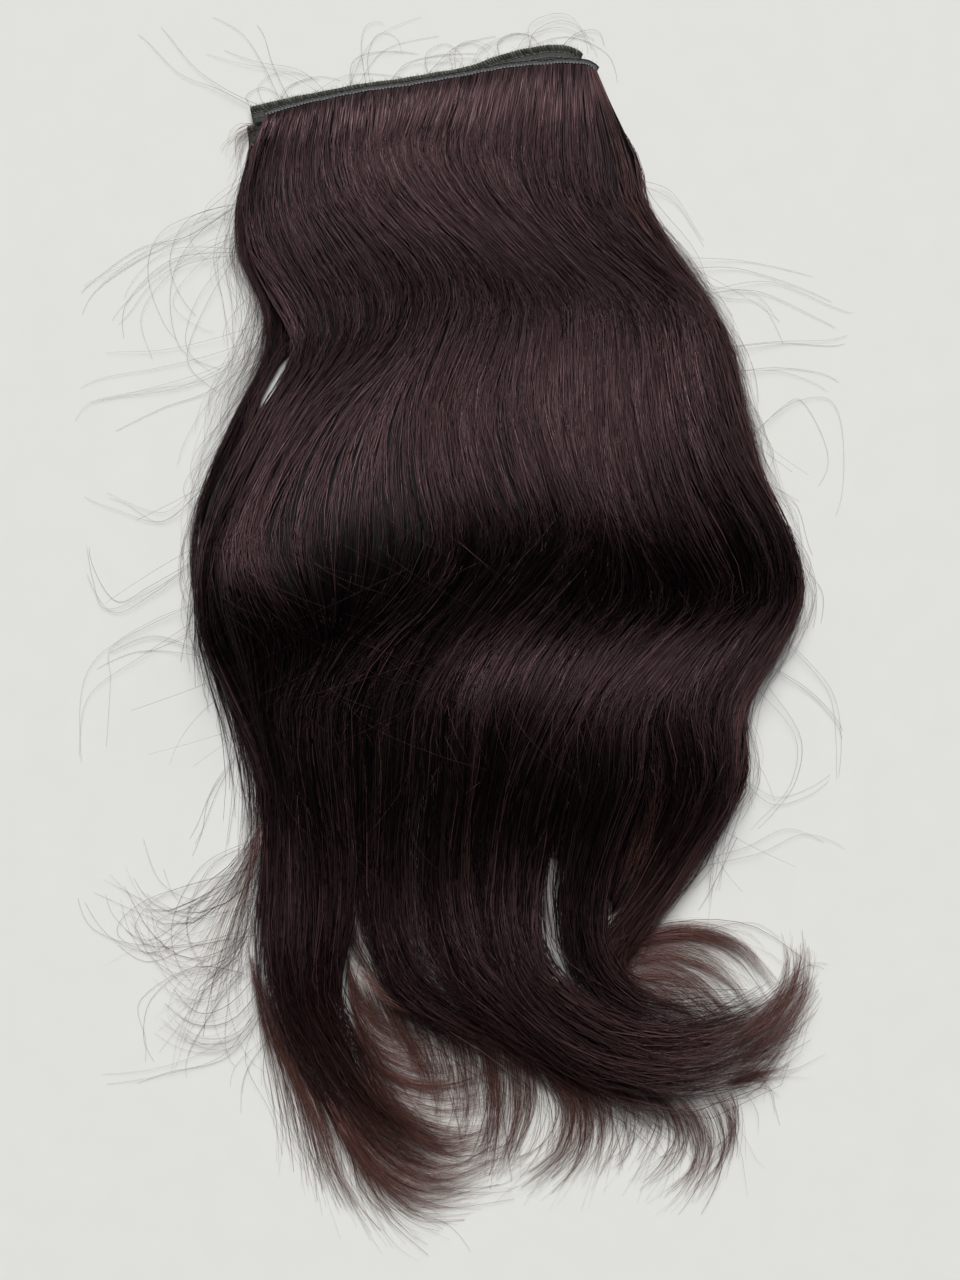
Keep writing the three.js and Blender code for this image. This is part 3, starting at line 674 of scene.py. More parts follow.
def packHair(name, bundle):
    # packed hair of one bundle: a flat-bottomed round-topped profile across it, carried down the same lines as
    # its strands and closed to a point short of the tips
    form = bodyForm
    side = np.concatenate([np.linspace(-1, 1, form["across"]), np.linspace(1, -1, form["across"])[1:-1]])
    height = np.concatenate([np.full(form["across"], form["topShare"]), np.full(form["across"] - 2, form["lowShare"])])
    w = (side + 1) / 2
    still = dict(w=w, drift=np.zeros(len(w)), spread=np.ones(len(w)), share=lambda along: np.zeros_like(along))
    points = strandPoints(wefts[weftOf(name)], bundle, w, height, still)
    reach = bundle.get("bodyReach", form["reach"])
    t = np.linspace(0, (points.shape[1] - 1) * reach, form["stations"])
    paths = smoothAlong(points, np.broadcast_to(t, (len(w), len(t))))
    middle = paths.mean(0, keepdims=True)
    share = t / t[-1]
    close = form["closeRun" if "lock" in bundle else "fallCloseRun"]
    keep = np.sqrt(np.clip(1 - ease(share, *close), 0, 1))
    if "lock" in bundle:
        narrow = (1 - form["narrow"] * ease(share, *form["narrowRun"])) * keep
        keep = mix(1.0, form["inset"], ease(share, *form["insetRun"])) * narrow
    paths = middle + (paths - middle) * np.maximum(keep, form["least"])[None, :, None]
    paths[..., 2] = np.maximum(paths[..., 2], tableGap)
    points = paths.transpose(1, 0, 2).reshape(-1, 3)
    reach = np.concatenate([[0], np.cumsum(np.linalg.norm(np.diff(middle[0], axis=0), axis=1))])
    wide = np.linalg.norm(paths - middle, axis=-1).max(0).mean()
    start = form["mapStep"] * bundle["lines"][0]
    uv = np.stack(np.broadcast_arrays(side[None] * wide + start, reach[:, None]), -1).reshape(-1, 2)
    return addMesh(name, points, *loftFaces(1, len(t), len(w)), uv=uv)


grown = []
for order, (name, bundle) in enumerate(bundles.items()):
    node = weftOf(name) + "_hair"
    grown.append(dress(growStrands(name, bundle, strandForm["seed"] + order), strandFinish, node))
    if not bundle.get("sparse"):
        grown.append(dress(packHair(name + "Body", bundle), bodyFinish, node))
print("hair grown:", triangleCount(grown), "triangles")

# Fringe: fine hairs that leave the locks and fall to the table. Each curtain has guide hairs through places of the
# picture, from one side of it to the other, the height it starts at and how many hairs hang between the guides.
# loose, late, short, tone and size are how far its hairs stray, start late and end early, and their tone and thickness.
fringeForm = dict(
    rings=11, radius=.062, perClump=5, homes=(-.05, 1.05), scatter=.14, alone=.45, aloneHomes=(-.08, 1.08), slack=.3,
    leanAlone=.55, leanTogether=.35, gather=.6, wander=1.6, together=.35, astray=2.2, turns=(.5, 1.6), sway=.6,
    low=.35, sink=.8, heights=(.4, 1.15), lift=.6, late=.2, short=.55, endBias=1.3, twist=.3,
    thin=.6, thinFrom=.6, thickShare=.16, thickSizes=(1.6, 2.3), sizes=(.55, 1.0),
    tone=.55, toneSpread=.2, leastTone=.1, tips=(.93, 1.05), tipRun=.03, seed=40,
)
curtains = dict(
    frontCurtain=dict(height=6, count=190, guides=[
        [(484, 1028), (489, 1066), (491, 1106), (487, 1146), (476, 1178)],
        [(504, 1034), (511, 1072), (513, 1112), (507, 1152), (497, 1186)],
        [(522, 1044), (529, 1080), (527, 1118), (515, 1155), (499, 1184)]]),
    frontFringe=dict(height=5, count=320, loose=1.8, guides=[
        [(530, 1046), (553, 1080), (568, 1118), (556, 1162), (518, 1193)],
        [(546, 1054), (572, 1084), (587, 1120), (580, 1160), (550, 1190)],
        [(560, 1060), (585, 1090), (597, 1122), (592, 1158), (576, 1192)],
        [(588, 1070), (608, 1098), (614, 1128), (606, 1160), (592, 1184)],
        [(612, 1078), (634, 1100), (642, 1130), (634, 1158), (622, 1176)]]),
    frontFill=dict(height=5, count=70, loose=2, guides=[
        [(520, 1044), (529, 1080), (528, 1118), (516, 1155), (500, 1184)],
        [(532, 1046), (554, 1080), (568, 1118), (556, 1162), (518, 1193)]]),
    frontHook=dict(height=5, count=40, guides=[
        [(534, 1050), (557, 1082), (570, 1118), (558, 1160), (518, 1192)],
        [(542, 1050), (564, 1082), (576, 1118), (562, 1162), (522, 1195)]]),
    frontSpray=dict(height=4, count=240, loose=2.6, guides=[
        [(640, 1085), (658, 1108), (664, 1135), (652, 1165), (636, 1188)],
        [(655, 1092), (680, 1120), (690, 1150), (684, 1180), (664, 1200)],
        [(680, 1095), (702, 1125), (710, 1155), (700, 1182), (680, 1206)],
        [(705, 1095), (722, 1122), (728, 1150), (720, 1175), (704, 1196)],
        [(728, 1088), (738, 1115), (736, 1145), (726, 1168), (712, 1188)]]),
    frontSprayEdge=dict(height=6, count=90, guides=[
        [(560, 1052), (590, 1066), (620, 1082), (645, 1098), (668, 1114)],
        [(575, 1075), (600, 1088), (622, 1100), (645, 1116), (668, 1138)]]),
    frontEndCurl=dict(height=5, count=560, loose=2.4, short=.4, guides=[
        [(362, 1060), (384, 1100), (412, 1130), (452, 1146), (505, 1132)],
        [(352, 1074), (382, 1118), (414, 1146), (456, 1160), (506, 1140)],
        [(340, 1090), (370, 1136), (406, 1166), (452, 1178), (506, 1156)],
        [(330, 1096), (360, 1148), (394, 1182), (440, 1196), (496, 1176)],
        [(320, 1090), (348, 1146), (376, 1190), (412, 1220), (460, 1222)]]),
    backFringe=dict(height=3, count=400, loose=1.8, guides=[
        [(248, 950), (258, 1010), (272, 1070), (284, 1130), (290, 1180)],
        [(262, 985), (276, 1045), (298, 1100), (312, 1155), (322, 1205)],
        [(278, 1020), (298, 1075), (316, 1125), (334, 1180), (372, 1240)],
        [(298, 1055), (320, 1105), (342, 1150), (358, 1200), (392, 1240)],
        [(322, 1095), (342, 1135), (362, 1172), (378, 1210), (410, 1240)]]),
    frontNetFall=dict(height=5, count=420, loose=2.4, guides=[
        [(352, 968), (362, 1000), (376, 1028), (394, 1050), (416, 1066)],
        [(380, 992), (396, 1022), (412, 1052), (424, 1080), (430, 1106)],
        [(415, 1008), (428, 1042), (438, 1078), (442, 1112), (438, 1142)],
        [(450, 1018), (462, 1052), (468, 1088), (468, 1122), (460, 1152)],
        [(482, 1028), (488, 1062), (490, 1098), (486, 1132), (476, 1164)]]),
    frontNetArc=dict(height=4, count=420, loose=2.4, guides=[
        [(344, 955), (354, 990), (376, 1018), (412, 1036), (456, 1040)],
        [(346, 990), (360, 1028), (390, 1056), (432, 1068), (480, 1060)],
        [(350, 1028), (370, 1062), (404, 1084), (446, 1091), (488, 1082)],
        [(358, 1060), (382, 1094), (414, 1112), (452, 1118), (490, 1108)],
        [(366, 1082), (392, 1112), (424, 1132), (460, 1140), (494, 1132)]]),
    frontDarkArc=dict(height=4, count=60, guides=[
        [(350, 1030), (374, 1064), (408, 1084), (448, 1090), (486, 1080)],
        [(350, 1038), (374, 1070), (408, 1091), (448, 1097), (486, 1088)]]),
    frontLoop=dict(height=4, count=340, loose=2.2, guides=[
        [(612, 962), (640, 938), (690, 930), (742, 946), (780, 990)],
        [(606, 972), (640, 950), (690, 944), (736, 962), (770, 1004)],
        [(602, 985), (640, 968), (684, 964), (726, 984), (756, 1018)],
        [(604, 1000), (640, 988), (678, 990), (712, 1008), (736, 1030)],
        [(612, 1015), (640, 1008), (668, 1012), (694, 1026), (716, 1040)]]),
    frontLoopArc=dict(height=4.5, count=130, guides=[
        [(620, 950), (655, 934), (700, 931), (748, 950), (781, 992)],
        [(620, 958), (655, 942), (700, 939), (744, 957), (775, 996)]]),
    frontLoopCross=dict(height=3, count=150, loose=1.5, guides=[
        [(640, 945), (680, 955), (720, 975), (750, 1005), (765, 1030)],
        [(620, 965), (660, 972), (698, 992), (724, 1018), (738, 1040)],
        [(608, 985), (640, 992), (668, 1008), (690, 1030), (704, 1048)]]),
    frontCurlTip=dict(height=6, count=110, guides=[
        [(735, 1035), (766, 1018), (786, 992), (793, 962), (790, 936)],
        [(740, 1050), (774, 1030), (796, 1000), (805, 968), (803, 942)],
        [(748, 1060), (782, 1038), (805, 1008), (813, 978), (814, 950)]]),
    frontCurlWisp=dict(height=3, count=60, guides=[
        [(728, 1078), (752, 1074), (776, 1066), (802, 1056)],
        [(728, 1090), (752, 1086), (778, 1078), (804, 1066)]]),
    frontCurlSide=dict(height=3, count=60, loose=2, guides=[
        [(740, 1060), (765, 1056), (785, 1048), (800, 1030)],
        [(735, 1085), (755, 1095), (768, 1105), (778, 1125)]]),
    # a paler, thicker band of hairs: its light tone is a painted sheen, the reddish streak along the lock ends
    frontPaintedSheenEdge=dict(height=13, count=130, tone=.8, size=1.4, late=.55, guides=[
        [(350, 958), (392, 994), (446, 1016), (505, 1026), (560, 1046)],
        [(350, 972), (392, 1008), (446, 1030), (505, 1042), (560, 1062)]]),
    frontBetween=dict(height=5, count=130, guides=[
        [(345, 830), (340, 890), (345, 945), (372, 990), (410, 1020)],
        [(362, 830), (358, 885), (366, 940), (396, 985), (440, 1012)]]),
    frontGapVeil=dict(height=6, count=50, guides=[
        [(538, 830), (536, 870), (538, 915), (546, 950), (560, 985)],
        [(556, 830), (556, 870), (556, 915), (562, 950), (576, 985)]]),
    frontStreakVeil=dict(height=10, count=60, tone=.95, guides=[
        [(635, 765), (630, 820), (616, 870), (602, 915), (596, 950)],
        [(652, 765), (652, 820), (640, 870), (622, 915), (610, 950)]]),
    backSideVeil=dict(height=4, count=58, loose=3.2, tone=.6, guides=[
        [(264, 812), (246, 850), (222, 888), (196, 925), (166, 952)],
        [(262, 826), (243, 876), (222, 925), (206, 978), (184, 1036)],
        [(262, 840), (246, 896), (238, 952), (240, 1010), (256, 1066)]]),
    backSideCross=dict(height=3, count=26, loose=3.0, tone=.6, guides=[
        [(256, 884), (222, 922), (180, 948), (140, 930), (112, 884)],
        [(262, 950), (226, 990), (190, 1002), (158, 972), (150, 916)],
        [(266, 1000), (236, 1044), (196, 1052), (160, 1030), (132, 990)]]),
    backEndTuft=dict(height=2.5, count=26, loose=1.2, tone=.5, guides=[
        [(254, 118), (244, 120), (235, 126), (228, 136), (223, 150)],
        [(254, 126), (246, 132), (239, 143), (234, 158), (231, 176)]]),
)


def hangFringe(name, curtain, seed):
    # hairs of one curtain: each has a place u between the guides, which drifts by lean q and closes on its clump's u as
    # q runs down it; it leaves the guides by a share of q squared, stops at its own q, and sinks to the table
    form = fringeForm
    rng = np.random.default_rng(seed)
    count, guides = curtain["count"], fromPicture(curtain["guides"])
    wide, stops = guides.shape[0] - 1, guides.shape[1]
    q = np.linspace(0, 1, stops)
    clumps = max(4, count // form["perClump"])
    clump = rng.integers(0, clumps, count)
    alone = rng.random(count) < form["alone"]
    home = rng.uniform(*form["homes"], clumps)[clump] * wide
    own = np.where(alone, rng.uniform(*form["aloneHomes"], count) * wide, home + rng.normal(0, form["scatter"], count))
    lean = np.where(alone, rng.normal(0, form["leanAlone"], count), rng.normal(0, form["leanTogether"], clumps)[clump])
    u = own[:, None] + lean[:, None] * q + np.where(alone, 0, form["gather"] * (home - own))[:, None] * q
    u = np.clip(u, -form["slack"], wide + form["slack"])
    i = np.clip(u.astype(int), 0, wide - 1)
    place = np.broadcast_to(np.arange(stops), i.shape)
    flat = mix(guides[i, place], guides[i + 1, place], (u - i)[..., None])
    astray = np.where(alone, 1.0, form["together"])[:, None] * rng.normal(0, 1, (count, 2)) * form["wander"]
    astray = astray * curtain.get("loose", 1)
    flat = flat + astray[:, None] * (form["astray"] * q ** 2)[:, None]
    z = mix(curtain["height"], form["low"], q ** form["sink"]) * rng.uniform(*form["heights"], (count, 1))
    z = z + form["lift"] * rng.random((count, 1))
    start = rng.uniform(0, curtain.get("late", form["late"]), count)
    early = np.where(alone, rng.random(count), rng.random(clumps)[clump]) ** form["endBias"]
    end = 1 - curtain.get("short", form["short"]) * early
    share = mix(start[:, None], end[:, None], np.linspace(0, 1, form["rings"]))
    paths = smoothAlong(np.concatenate([flat, z[..., None]], -1), share * (stops - 1))
    turns, phase = rng.uniform(*form["turns"], (count, 1)), rng.uniform(0, fullTurn, (count, 1))
    paths[..., 0] += form["wander"] * form["sway"] * share * swing(turns, share, phase)
    paths[..., 1] += form["wander"] * form["sway"] * share * np.cos(fullTurn * turns * share + 1.7 * phase)
    thin = 1 - form["thin"] * ease(np.linspace(0, 1, form["rings"]), form["thinFrom"], 1)
    thick = rng.random(count) < form["thickShare"]
    size = np.where(thick, rng.uniform(*form["thickSizes"], count), rng.uniform(*form["sizes"], count))
    radius = form["radius"] * curtain.get("size", 1) * size[:, None] * thin
    paths[..., 2] = np.maximum(paths[..., 2], radius + tableGap)
    phase = rng.uniform(-form["twist"], form["twist"], count)
    tone = rng.normal(curtain.get("tone", form["tone"]), form["toneSpread"], (count, 1)).clip(form["leastTone"], 1)
    # fringe hairs take along near its end, so they wear the tip colour, partly painted light shining through thin hair
    along = rng.uniform(*form["tips"], (count, 1)) + np.linspace(0, form["tipRun"], form["rings"])
    return addTubes(name, paths, radius, 3, phase, tone=tone, along=along)


for order, (name, curtain) in enumerate(curtains.items()):
    piece = hangFringe(name, curtain, fringeForm["seed"] + order)
    dress(piece, strandFinish, weftOf(name) + "_hair")
print("fringe hung")

# Sewn bands: a strip with a rolled upper edge, hung below its seam line.
bandForm = dict(
    stations=170, edge=1.35, wall=1.0, waver=.12, longWave=.21, shortWave=.53, shortShare=.6,
    endRun=1.6, endLeast=.04, endWide=.8,
)


def bandPoint(weft, share, down, z):
    # a point of the band: down the band from its seam, z above its underside, wavering slowly along it
    point, way, length = alongSeam(weft, share)
    form, run = bandForm, share * length
    slow = np.sin(run * form["longWave"] + weft["rank"]) + form["shortShare"] * np.sin(run * form["shortWave"])
    spot = point + way * (down + form["waver"] * slow)[..., None]
    return np.concatenate([spot, (weft["rank"] * fall["bandStep"] + z)[..., None]], -1)


def sewBand(name, weft):
    # rolled-edge profile (distance below the seam, height) carried along the seam, drawn in at both ends
    form = bandForm
    wide, roll, edge, wall = weft["band"], weft["roll"], form["edge"], form["wall"]
    profile = np.array([
        (0, .6), (.08 * roll, 1.0), (.3 * roll, edge - .07), (.55 * roll, edge), (.8 * roll, edge - .15),
        (roll, wall + .02), (roll + .3, wall), (.5 * (roll + wide), wall), (wide - .5, wall - .03),
        (wide - .15, wall - .2), (wide, .5), (wide - .08, .12), (wide - .4, .02), (.5 * wide, .02),
        (.6, .02), (.15, .2),
    ])
    length = alongSeam(weft, 0)[2]
    share = np.linspace(0, 1, form["stations"])
    tuck = np.sqrt(np.clip(np.minimum(share, 1 - share) * length / form["endRun"], form["endLeast"], 1))
    middle = profile.mean(0)
    down = middle[0] + (profile[:, 0] - middle[0]) * mix(form["endWide"], 1, tuck)[:, None]
    z = tableGap + profile[:, 1] * tuck[:, None]
    points = bandPoint(weft, np.broadcast_to(share[:, None], down.shape), down, z)
    quads, caps = loftFaces(1, len(share), len(profile))
    quads, caps = quads[:, [0, 3, 2, 1]], [cap[:, ::-1] for cap in caps]  # the profile runs the other way round
    uv = np.stack(np.broadcast_arrays(share[:, None] * length, profile[None, :, 0]), -1).reshape(-1, 2)
    # below the rolled edge the face takes the weft's face share; kept low on the back weft, it paints the shade under
    # the band above
    face = weft["face"] * ease(profile[:, 0], .8 * roll, 1.25 * roll)
    return addMesh(name, points.reshape(-1, 3), quads, caps, dict(face=np.tile(face, len(share))), uv)


# Stitches: rows of short slanted threads on each band, and threads wrapped over its rolled edge.
stitchForm = dict(rings=6, sides=5, radius=.16, above=.04, rise=.14, first=1.2,
                  unevenPitch=.06, unevenDown=.05, unevenTone=.12, seed=70)
# the dark threads in each row are partly the band's own dark line between stitches and partly painted shadow of the
# stitches
stitchRows = dict(
    back=[dict(down=4.4, lean=.35, long=1.25, pitch=1.4, tones=(.15, .4))],
    middle=[dict(down=3.1, lean=.3, long=1.25, pitch=1.4, tones=(.3, .7)),
            dict(down=5.2, lean=-.35, long=1.2, pitch=1.4, tones=(.3, .7))],
    front=[dict(down=.75, lean=.15, long=1.2, pitch=1.4, tones=(.4, .75)),
           dict(down=2.15, lean=.3, long=.74, pitch=.7, radius=.3, tones=(0, 1))],
)


def stitchPaths(weft, row, rng):
    # each stitch is an arc of long by lean, raised in its middle, at even pitch with a little unevenness
    form = stitchForm
    length = alongSeam(weft, 0)[2]
    count = int(length / row["pitch"]) - 2
    centre = (np.arange(count) + form["first"] + rng.normal(0, form["unevenPitch"], count)) * row["pitch"]
    q = np.linspace(-1, 1, form["rings"])
    share = np.clip((centre[:, None] + .5 * row["long"] * q) / length, 0, 1)
    down = row["down"] + .5 * row["lean"] * q + rng.normal(0, form["unevenDown"], count)[:, None]
    z = bandForm["wall"] + form["above"] + form["rise"] * (1 - q ** 2)
    return bandPoint(weft, share, down, np.broadcast_to(z, share.shape)), np.sqrt(1.02 - q ** 2)


wrapForm = dict(
    pitch=1.2, first=.8, unevenPitch=.1, sides=4, radius=.3, slant=1.1, unevenSlant=.3, overRoll=1.25,
    reach=np.array([1, .76, .52, .3, .1, -.03]), heights=np.array([1.0, 1.12, 1.34, 1.46, 1.2, .6]),
    sizes=np.array([.6, .95, 1, 1, .95, .6]),
)


def wrapPaths(weft, rng):
    # each wrap starts on the band's face, slants up over the rolled edge and ends behind it
    form = wrapForm
    length = alongSeam(weft, 0)[2]
    count = int(length / form["pitch"]) - 1
    centre = (np.arange(count) + form["first"] + rng.normal(0, form["unevenPitch"], count)) * form["pitch"]
    lean = form["slant"] * (form["reach"] - .5)
    uneven = rng.normal(0, form["unevenSlant"], count)[:, None] * form["reach"]
    share = np.clip((centre[:, None] + lean + uneven) / length, 0, 1)
    down = np.broadcast_to(form["overRoll"] * weft["roll"] * form["reach"], share.shape)
    return bandPoint(weft, share, down, np.broadcast_to(form["heights"], share.shape))


# Fuzz: short fibres that stand out of each rolled edge.
fuzzForm = dict(
    rings=4, radius=.05, tip=.4, shortest=.5, longest=2.1, sizeBias=1.2, places=(.003, .997), turn=.75, bend=.8,
    highest=-.1, lowest=.8, heights=(.5, 1.4), climb=.5, kept=(.1, 3), seed=80,
)


def fuzzPaths(weft, rng):
    # each fibre leaves the rolled edge upwards and sideways and bends by its own amount
    form = fuzzForm
    length = alongSeam(weft, 0)[2]
    count = int(length * weft["fuzz"])
    share = rng.uniform(*form["places"], count)
    q = np.linspace(0, 1, form["rings"])
    size = rng.uniform(form["shortest"], form["longest"], (count, 1)) ** form["sizeBias"]
    turn = rng.normal(0, form["turn"], (count, 1)) + rng.normal(0, form["bend"], (count, 1)) * q
    start = rng.uniform(form["highest"], form["lowest"] * weft["roll"], (count, 1))
    down = start - size * q * np.cos(turn)
    slide = size * q * np.sin(turn) / length
    z = rng.uniform(*form["heights"], (count, 1)) + rng.normal(0, form["climb"], (count, 1)) * q
    return bandPoint(weft, np.clip(share[:, None] + slide, 0, 1), down, z.clip(*form["kept"]))


for name, weft in wefts.items():
    node = name + "_band"
    dress(sewBand(name + "Band", weft), bandFinish, node)
    rng = np.random.default_rng(stitchForm["seed"] + weft["rank"])
    for number, row in enumerate(stitchRows[name]):
        paths, shape = stitchPaths(weft, row, rng)
        # the dark threads in turn are partly painted stitch shadow
        dashes = np.where(np.arange(len(paths)) % 2, *row["tones"])  # dark and light threads in turn
        tone = (dashes + rng.normal(0, stitchForm["unevenTone"], len(paths))).clip(0, 1)
        radius = row.get("radius", stitchForm["radius"]) * shape
        stitches = addTubes(f"{name}Stitches{number + 1}", paths, radius, stitchForm["sides"], tone=tone[:, None])
        dress(stitches, threadFinish, node)
    if weft["roll"] > 1:
        paths = wrapPaths(weft, rng)
        tone = rng.uniform(0, 1, (len(paths), 1))
        wraps = addTubes(name + "Wraps", paths, wrapForm["radius"] * wrapForm["sizes"], wrapForm["sides"], tone=tone)
        dress(wraps, wrapFinish, node)
    rng = np.random.default_rng(fuzzForm["seed"] + weft["rank"])
    paths = fuzzPaths(weft, rng)
    radius = fuzzForm["radius"] * np.linspace(1, fuzzForm["tip"], fuzzForm["rings"])
    dress(addTubes(name + "Fuzz", paths, radius, tone=rng.random((len(paths), 1))), fuzzFinish, node)
print("bands sewn")

# Stray hairs that lie on the table round the fall, each through a few places of the picture, from the fall outwards.
strayForm = dict(
    copies=dict(back=3, middle=2, front=2), bounds=152.0, slack=14, rings=20, radius=.068, tones=(.3, .85),
    jitter=.12, bends=.02, firstCopy=.15, shortest=.7, lift=2.2, low=.25, hump=.9, seed=90,
)
strayRoutes = dict(
    back=[
        [(245, 190), (190, 225), (130, 255), (85, 285), (66, 310)],
        [(240, 225), (200, 235), (150, 265), (110, 300), (100, 320)],
        [(262, 330), (210, 350), (150, 365), (100, 372), (68, 385)],
        [(258, 345), (200, 375), (140, 385), (80, 397)],
        [(240, 240), (195, 290), (180, 340), (210, 370), (240, 372)],
        [(236, 200), (185, 215), (165, 260), (190, 310), (235, 330)],
        [(250, 250), (170, 255), (120, 300), (115, 340)],
        [(205, 480), (160, 520), (120, 500), (88, 492)],
        [(192, 560), (150, 590), (110, 610), (82, 575), (80, 540)],
        [(200, 600), (140, 625), (90, 655), (70, 700), (72, 775)],
        [(215, 660), (150, 640), (95, 660)],
        [(245, 740), (215, 790), (200, 830), (190, 850)],
        [(258, 830), (215, 880), (150, 940), (110, 915), (100, 880)],
        [(250, 880), (190, 950), (135, 935), (110, 890)],
        [(252, 900), (200, 920), (150, 905), (125, 870)],
        [(255, 930), (200, 945), (150, 950), (120, 930)],
        [(250, 960), (210, 1000), (180, 1040), (175, 1060)],
        [(255, 980), (195, 970), (150, 1000), (140, 1040), (150, 1065)],
        [(260, 1000), (215, 1050), (150, 1075), (76, 1085)],
        [(262, 850), (235, 960), (200, 1010)],
        [(268, 1040), (240, 1080), (235, 1120)],
        [(250, 905), (225, 985), (245, 1060), (290, 1085)],
        [(255, 840), (200, 870), (170, 930), (190, 985), (240, 1000)],
        [(252, 870), (150, 900), (120, 935), (180, 960), (245, 940)],
        [(272, 1010), (260, 1080), (285, 1150), (310, 1190)],
        [(290, 1060), (290, 1120), (320, 1180), (350, 1215)],
    ],
    middle=[
        [(265, 104), (225, 85), (190, 60), (160, 25), (140, 8)],
        [(280, 100), (262, 60), (240, 25), (205, 5)],
        [(330, 92), (300, 65), (255, 55), (215, 40)],
        [(345, 90), (360, 45), (385, 20), (430, 2)],
        [(370, 85), (365, 50), (375, 25), (395, 30), (400, 60)],
        [(420, 78), (440, 55), (470, 50), (500, 60)],
        [(470, 62), (480, 40), (505, 28), (535, 22)],
        [(515, 50), (525, 30), (560, 18), (590, 35), (600, 60)],
        [(300, 97), (345, 70), (400, 72), (430, 85)],
        [(560, 45), (575, 28), (595, 30), (600, 50)],
        [(430, 75), (425, 50), (445, 38), (462, 52), (455, 70)],
        [(455, 68), (450, 45), (470, 34), (490, 45), (488, 60)],
        [(500, 52), (498, 35), (515, 25), (535, 30), (545, 45)],
        [(530, 48), (535, 25), (560, 12), (585, 20), (597, 45), (600, 62)],
        [(350, 88), (352, 60), (380, 45), (420, 48), (450, 62)],
        [(385, 82), (400, 62), (430, 55), (465, 58)],
        [(262, 102), (255, 80), (275, 66), (305, 70), (330, 85)],
        [(275, 100), (290, 78), (320, 70), (355, 80)],
        [(640, 180), (675, 195), (700, 230), (715, 260)],
        [(690, 265), (740, 262), (800, 280), (845, 300)],
        [(705, 290), (760, 285), (820, 310), (850, 325)],
        [(730, 345), (780, 338), (830, 340), (852, 337)],
        [(735, 370), (780, 365), (825, 372), (850, 385)],
        [(750, 430), (790, 395), (830, 390), (848, 430), (842, 490), (800, 550)],
        [(765, 480), (800, 500), (815, 545), (830, 575)],
        [(690, 255), (720, 290), (765, 300), (790, 340)],
        [(800, 560), (820, 600), (815, 640)],
        [(770, 665), (810, 690), (840, 720), (852, 738)],
        [(790, 640), (835, 690), (848, 740), (842, 790)],
        [(760, 690), (800, 740), (795, 790), (760, 830), (735, 865)],
        [(745, 780), (780, 800), (815, 790), (845, 770)],
        [(740, 840), (715, 890), (700, 915)],
        [(675, 870), (745, 850), (790, 830), (830, 845)],
    ],
    front=[
        [(700, 935), (760, 925), (800, 950)],
        [(760, 1055), (790, 1040), (815, 1040)],
        [(790, 985), (815, 968), (835, 970)],
        [(740, 1100), (765, 1085), (775, 1105), (778, 1125)],
        [(640, 1080), (650, 1130), (690, 1160), (700, 1190)],
        [(520, 1060), (560, 1110), (560, 1160), (530, 1190)],
        [(560, 1080), (610, 1120), (620, 1150), (600, 1175)],
        [(350, 1120), (380, 1190), (430, 1215), (450, 1240)],
        [(400, 1150), (440, 1195), (500, 1200), (520, 1190)],
        [(380, 1000), (420, 1050), (430, 1100), (410, 1150)],
        [(400, 1010), (470, 1040), (480, 1090), (440, 1130)],
        [(360, 960), (390, 1040), (450, 1090), (490, 1080)],
        [(390, 1085), (440, 1095), (485, 1085), (510, 1060)],
    ],
)


def strayPaths(routes, copies, rng):
    # every route is drawn a few times, each copy moved by its own slowly growing amount, low on the table; beyond
    # the bounds to the left and right it goes out by slack times the tanh of the rest
    form = strayForm
    made = []
    for route in routes:
        stops = fromPicture(route)
        length = np.hypot(*np.diff(stops, axis=0).T).sum()
        nudge = rng.normal(0, form["jitter"] * length, (copies, 1, 2)) * np.linspace(.25, 1, len(stops))[:, None]
        nudge += rng.normal(0, form["bends"] * length, (copies, len(stops), 2))
        nudge[0] *= form["firstCopy"]
        t = np.linspace(0, len(stops) - 1, form["rings"]) * rng.uniform(form["shortest"], 1, (copies, 1))
        flat = smoothAlong(stops + nudge, t)
        out = flat[..., 0] - fall["centre"][0]
        over = np.clip(np.abs(out) - form["bounds"], 0, None)
        kept = np.where(over > 0, form["bounds"] + form["slack"] * np.tanh(over / form["slack"]), np.abs(out))
        flat[..., 0] = np.sign(out) * kept + fall["centre"][0]
        share = t / t.max()
        height = mix(form["lift"], form["low"], ease(share, 0, .5))
        height = height + form["hump"] * np.sin(3.1 * t / t.max()) * rng.random((copies, 1))
        made.append(np.concatenate([flat, height[..., None]], -1))
    return np.concatenate(made)


# Frizz: fine hairs that leave the two sides of the fall, bow outwards and come back or end loose. top and low are the
# heights on the table between which they start, and bow how far they swing out.
frizzForm = dict(
    left=dict(line=0, out=-1, node="back_hair"), right=dict(line=10, out=1, node="middle_hair"),
    rings=12, shortest=25.0, endShare=.55, leastBow=.6, inset=1.2, scatter=.8, lift=1.2, low=.4, rise=2.2, seed=95,
)
frizz = dict(
    leftFrizz=dict(count=240, top=205, low=-60, longest=85, bow=9, radius=.07, tones=(.4, .95)),
    leftVeil=dict(count=135, top=196, low=135, longest=105, bow=20, radius=.06, tones=(.6, 1)),
    leftLowFrizz=dict(count=170, top=-5, low=-105, longest=110, bow=13, radius=.06, tones=(.6, 1)),
    rightFrizz=dict(count=225, top=205, low=-60, longest=85, bow=9, radius=.07, tones=(.4, .95)),
    rightVeil=dict(count=190, top=196, low=100, longest=95, bow=8, radius=.06, tones=(.85, 1)),
)


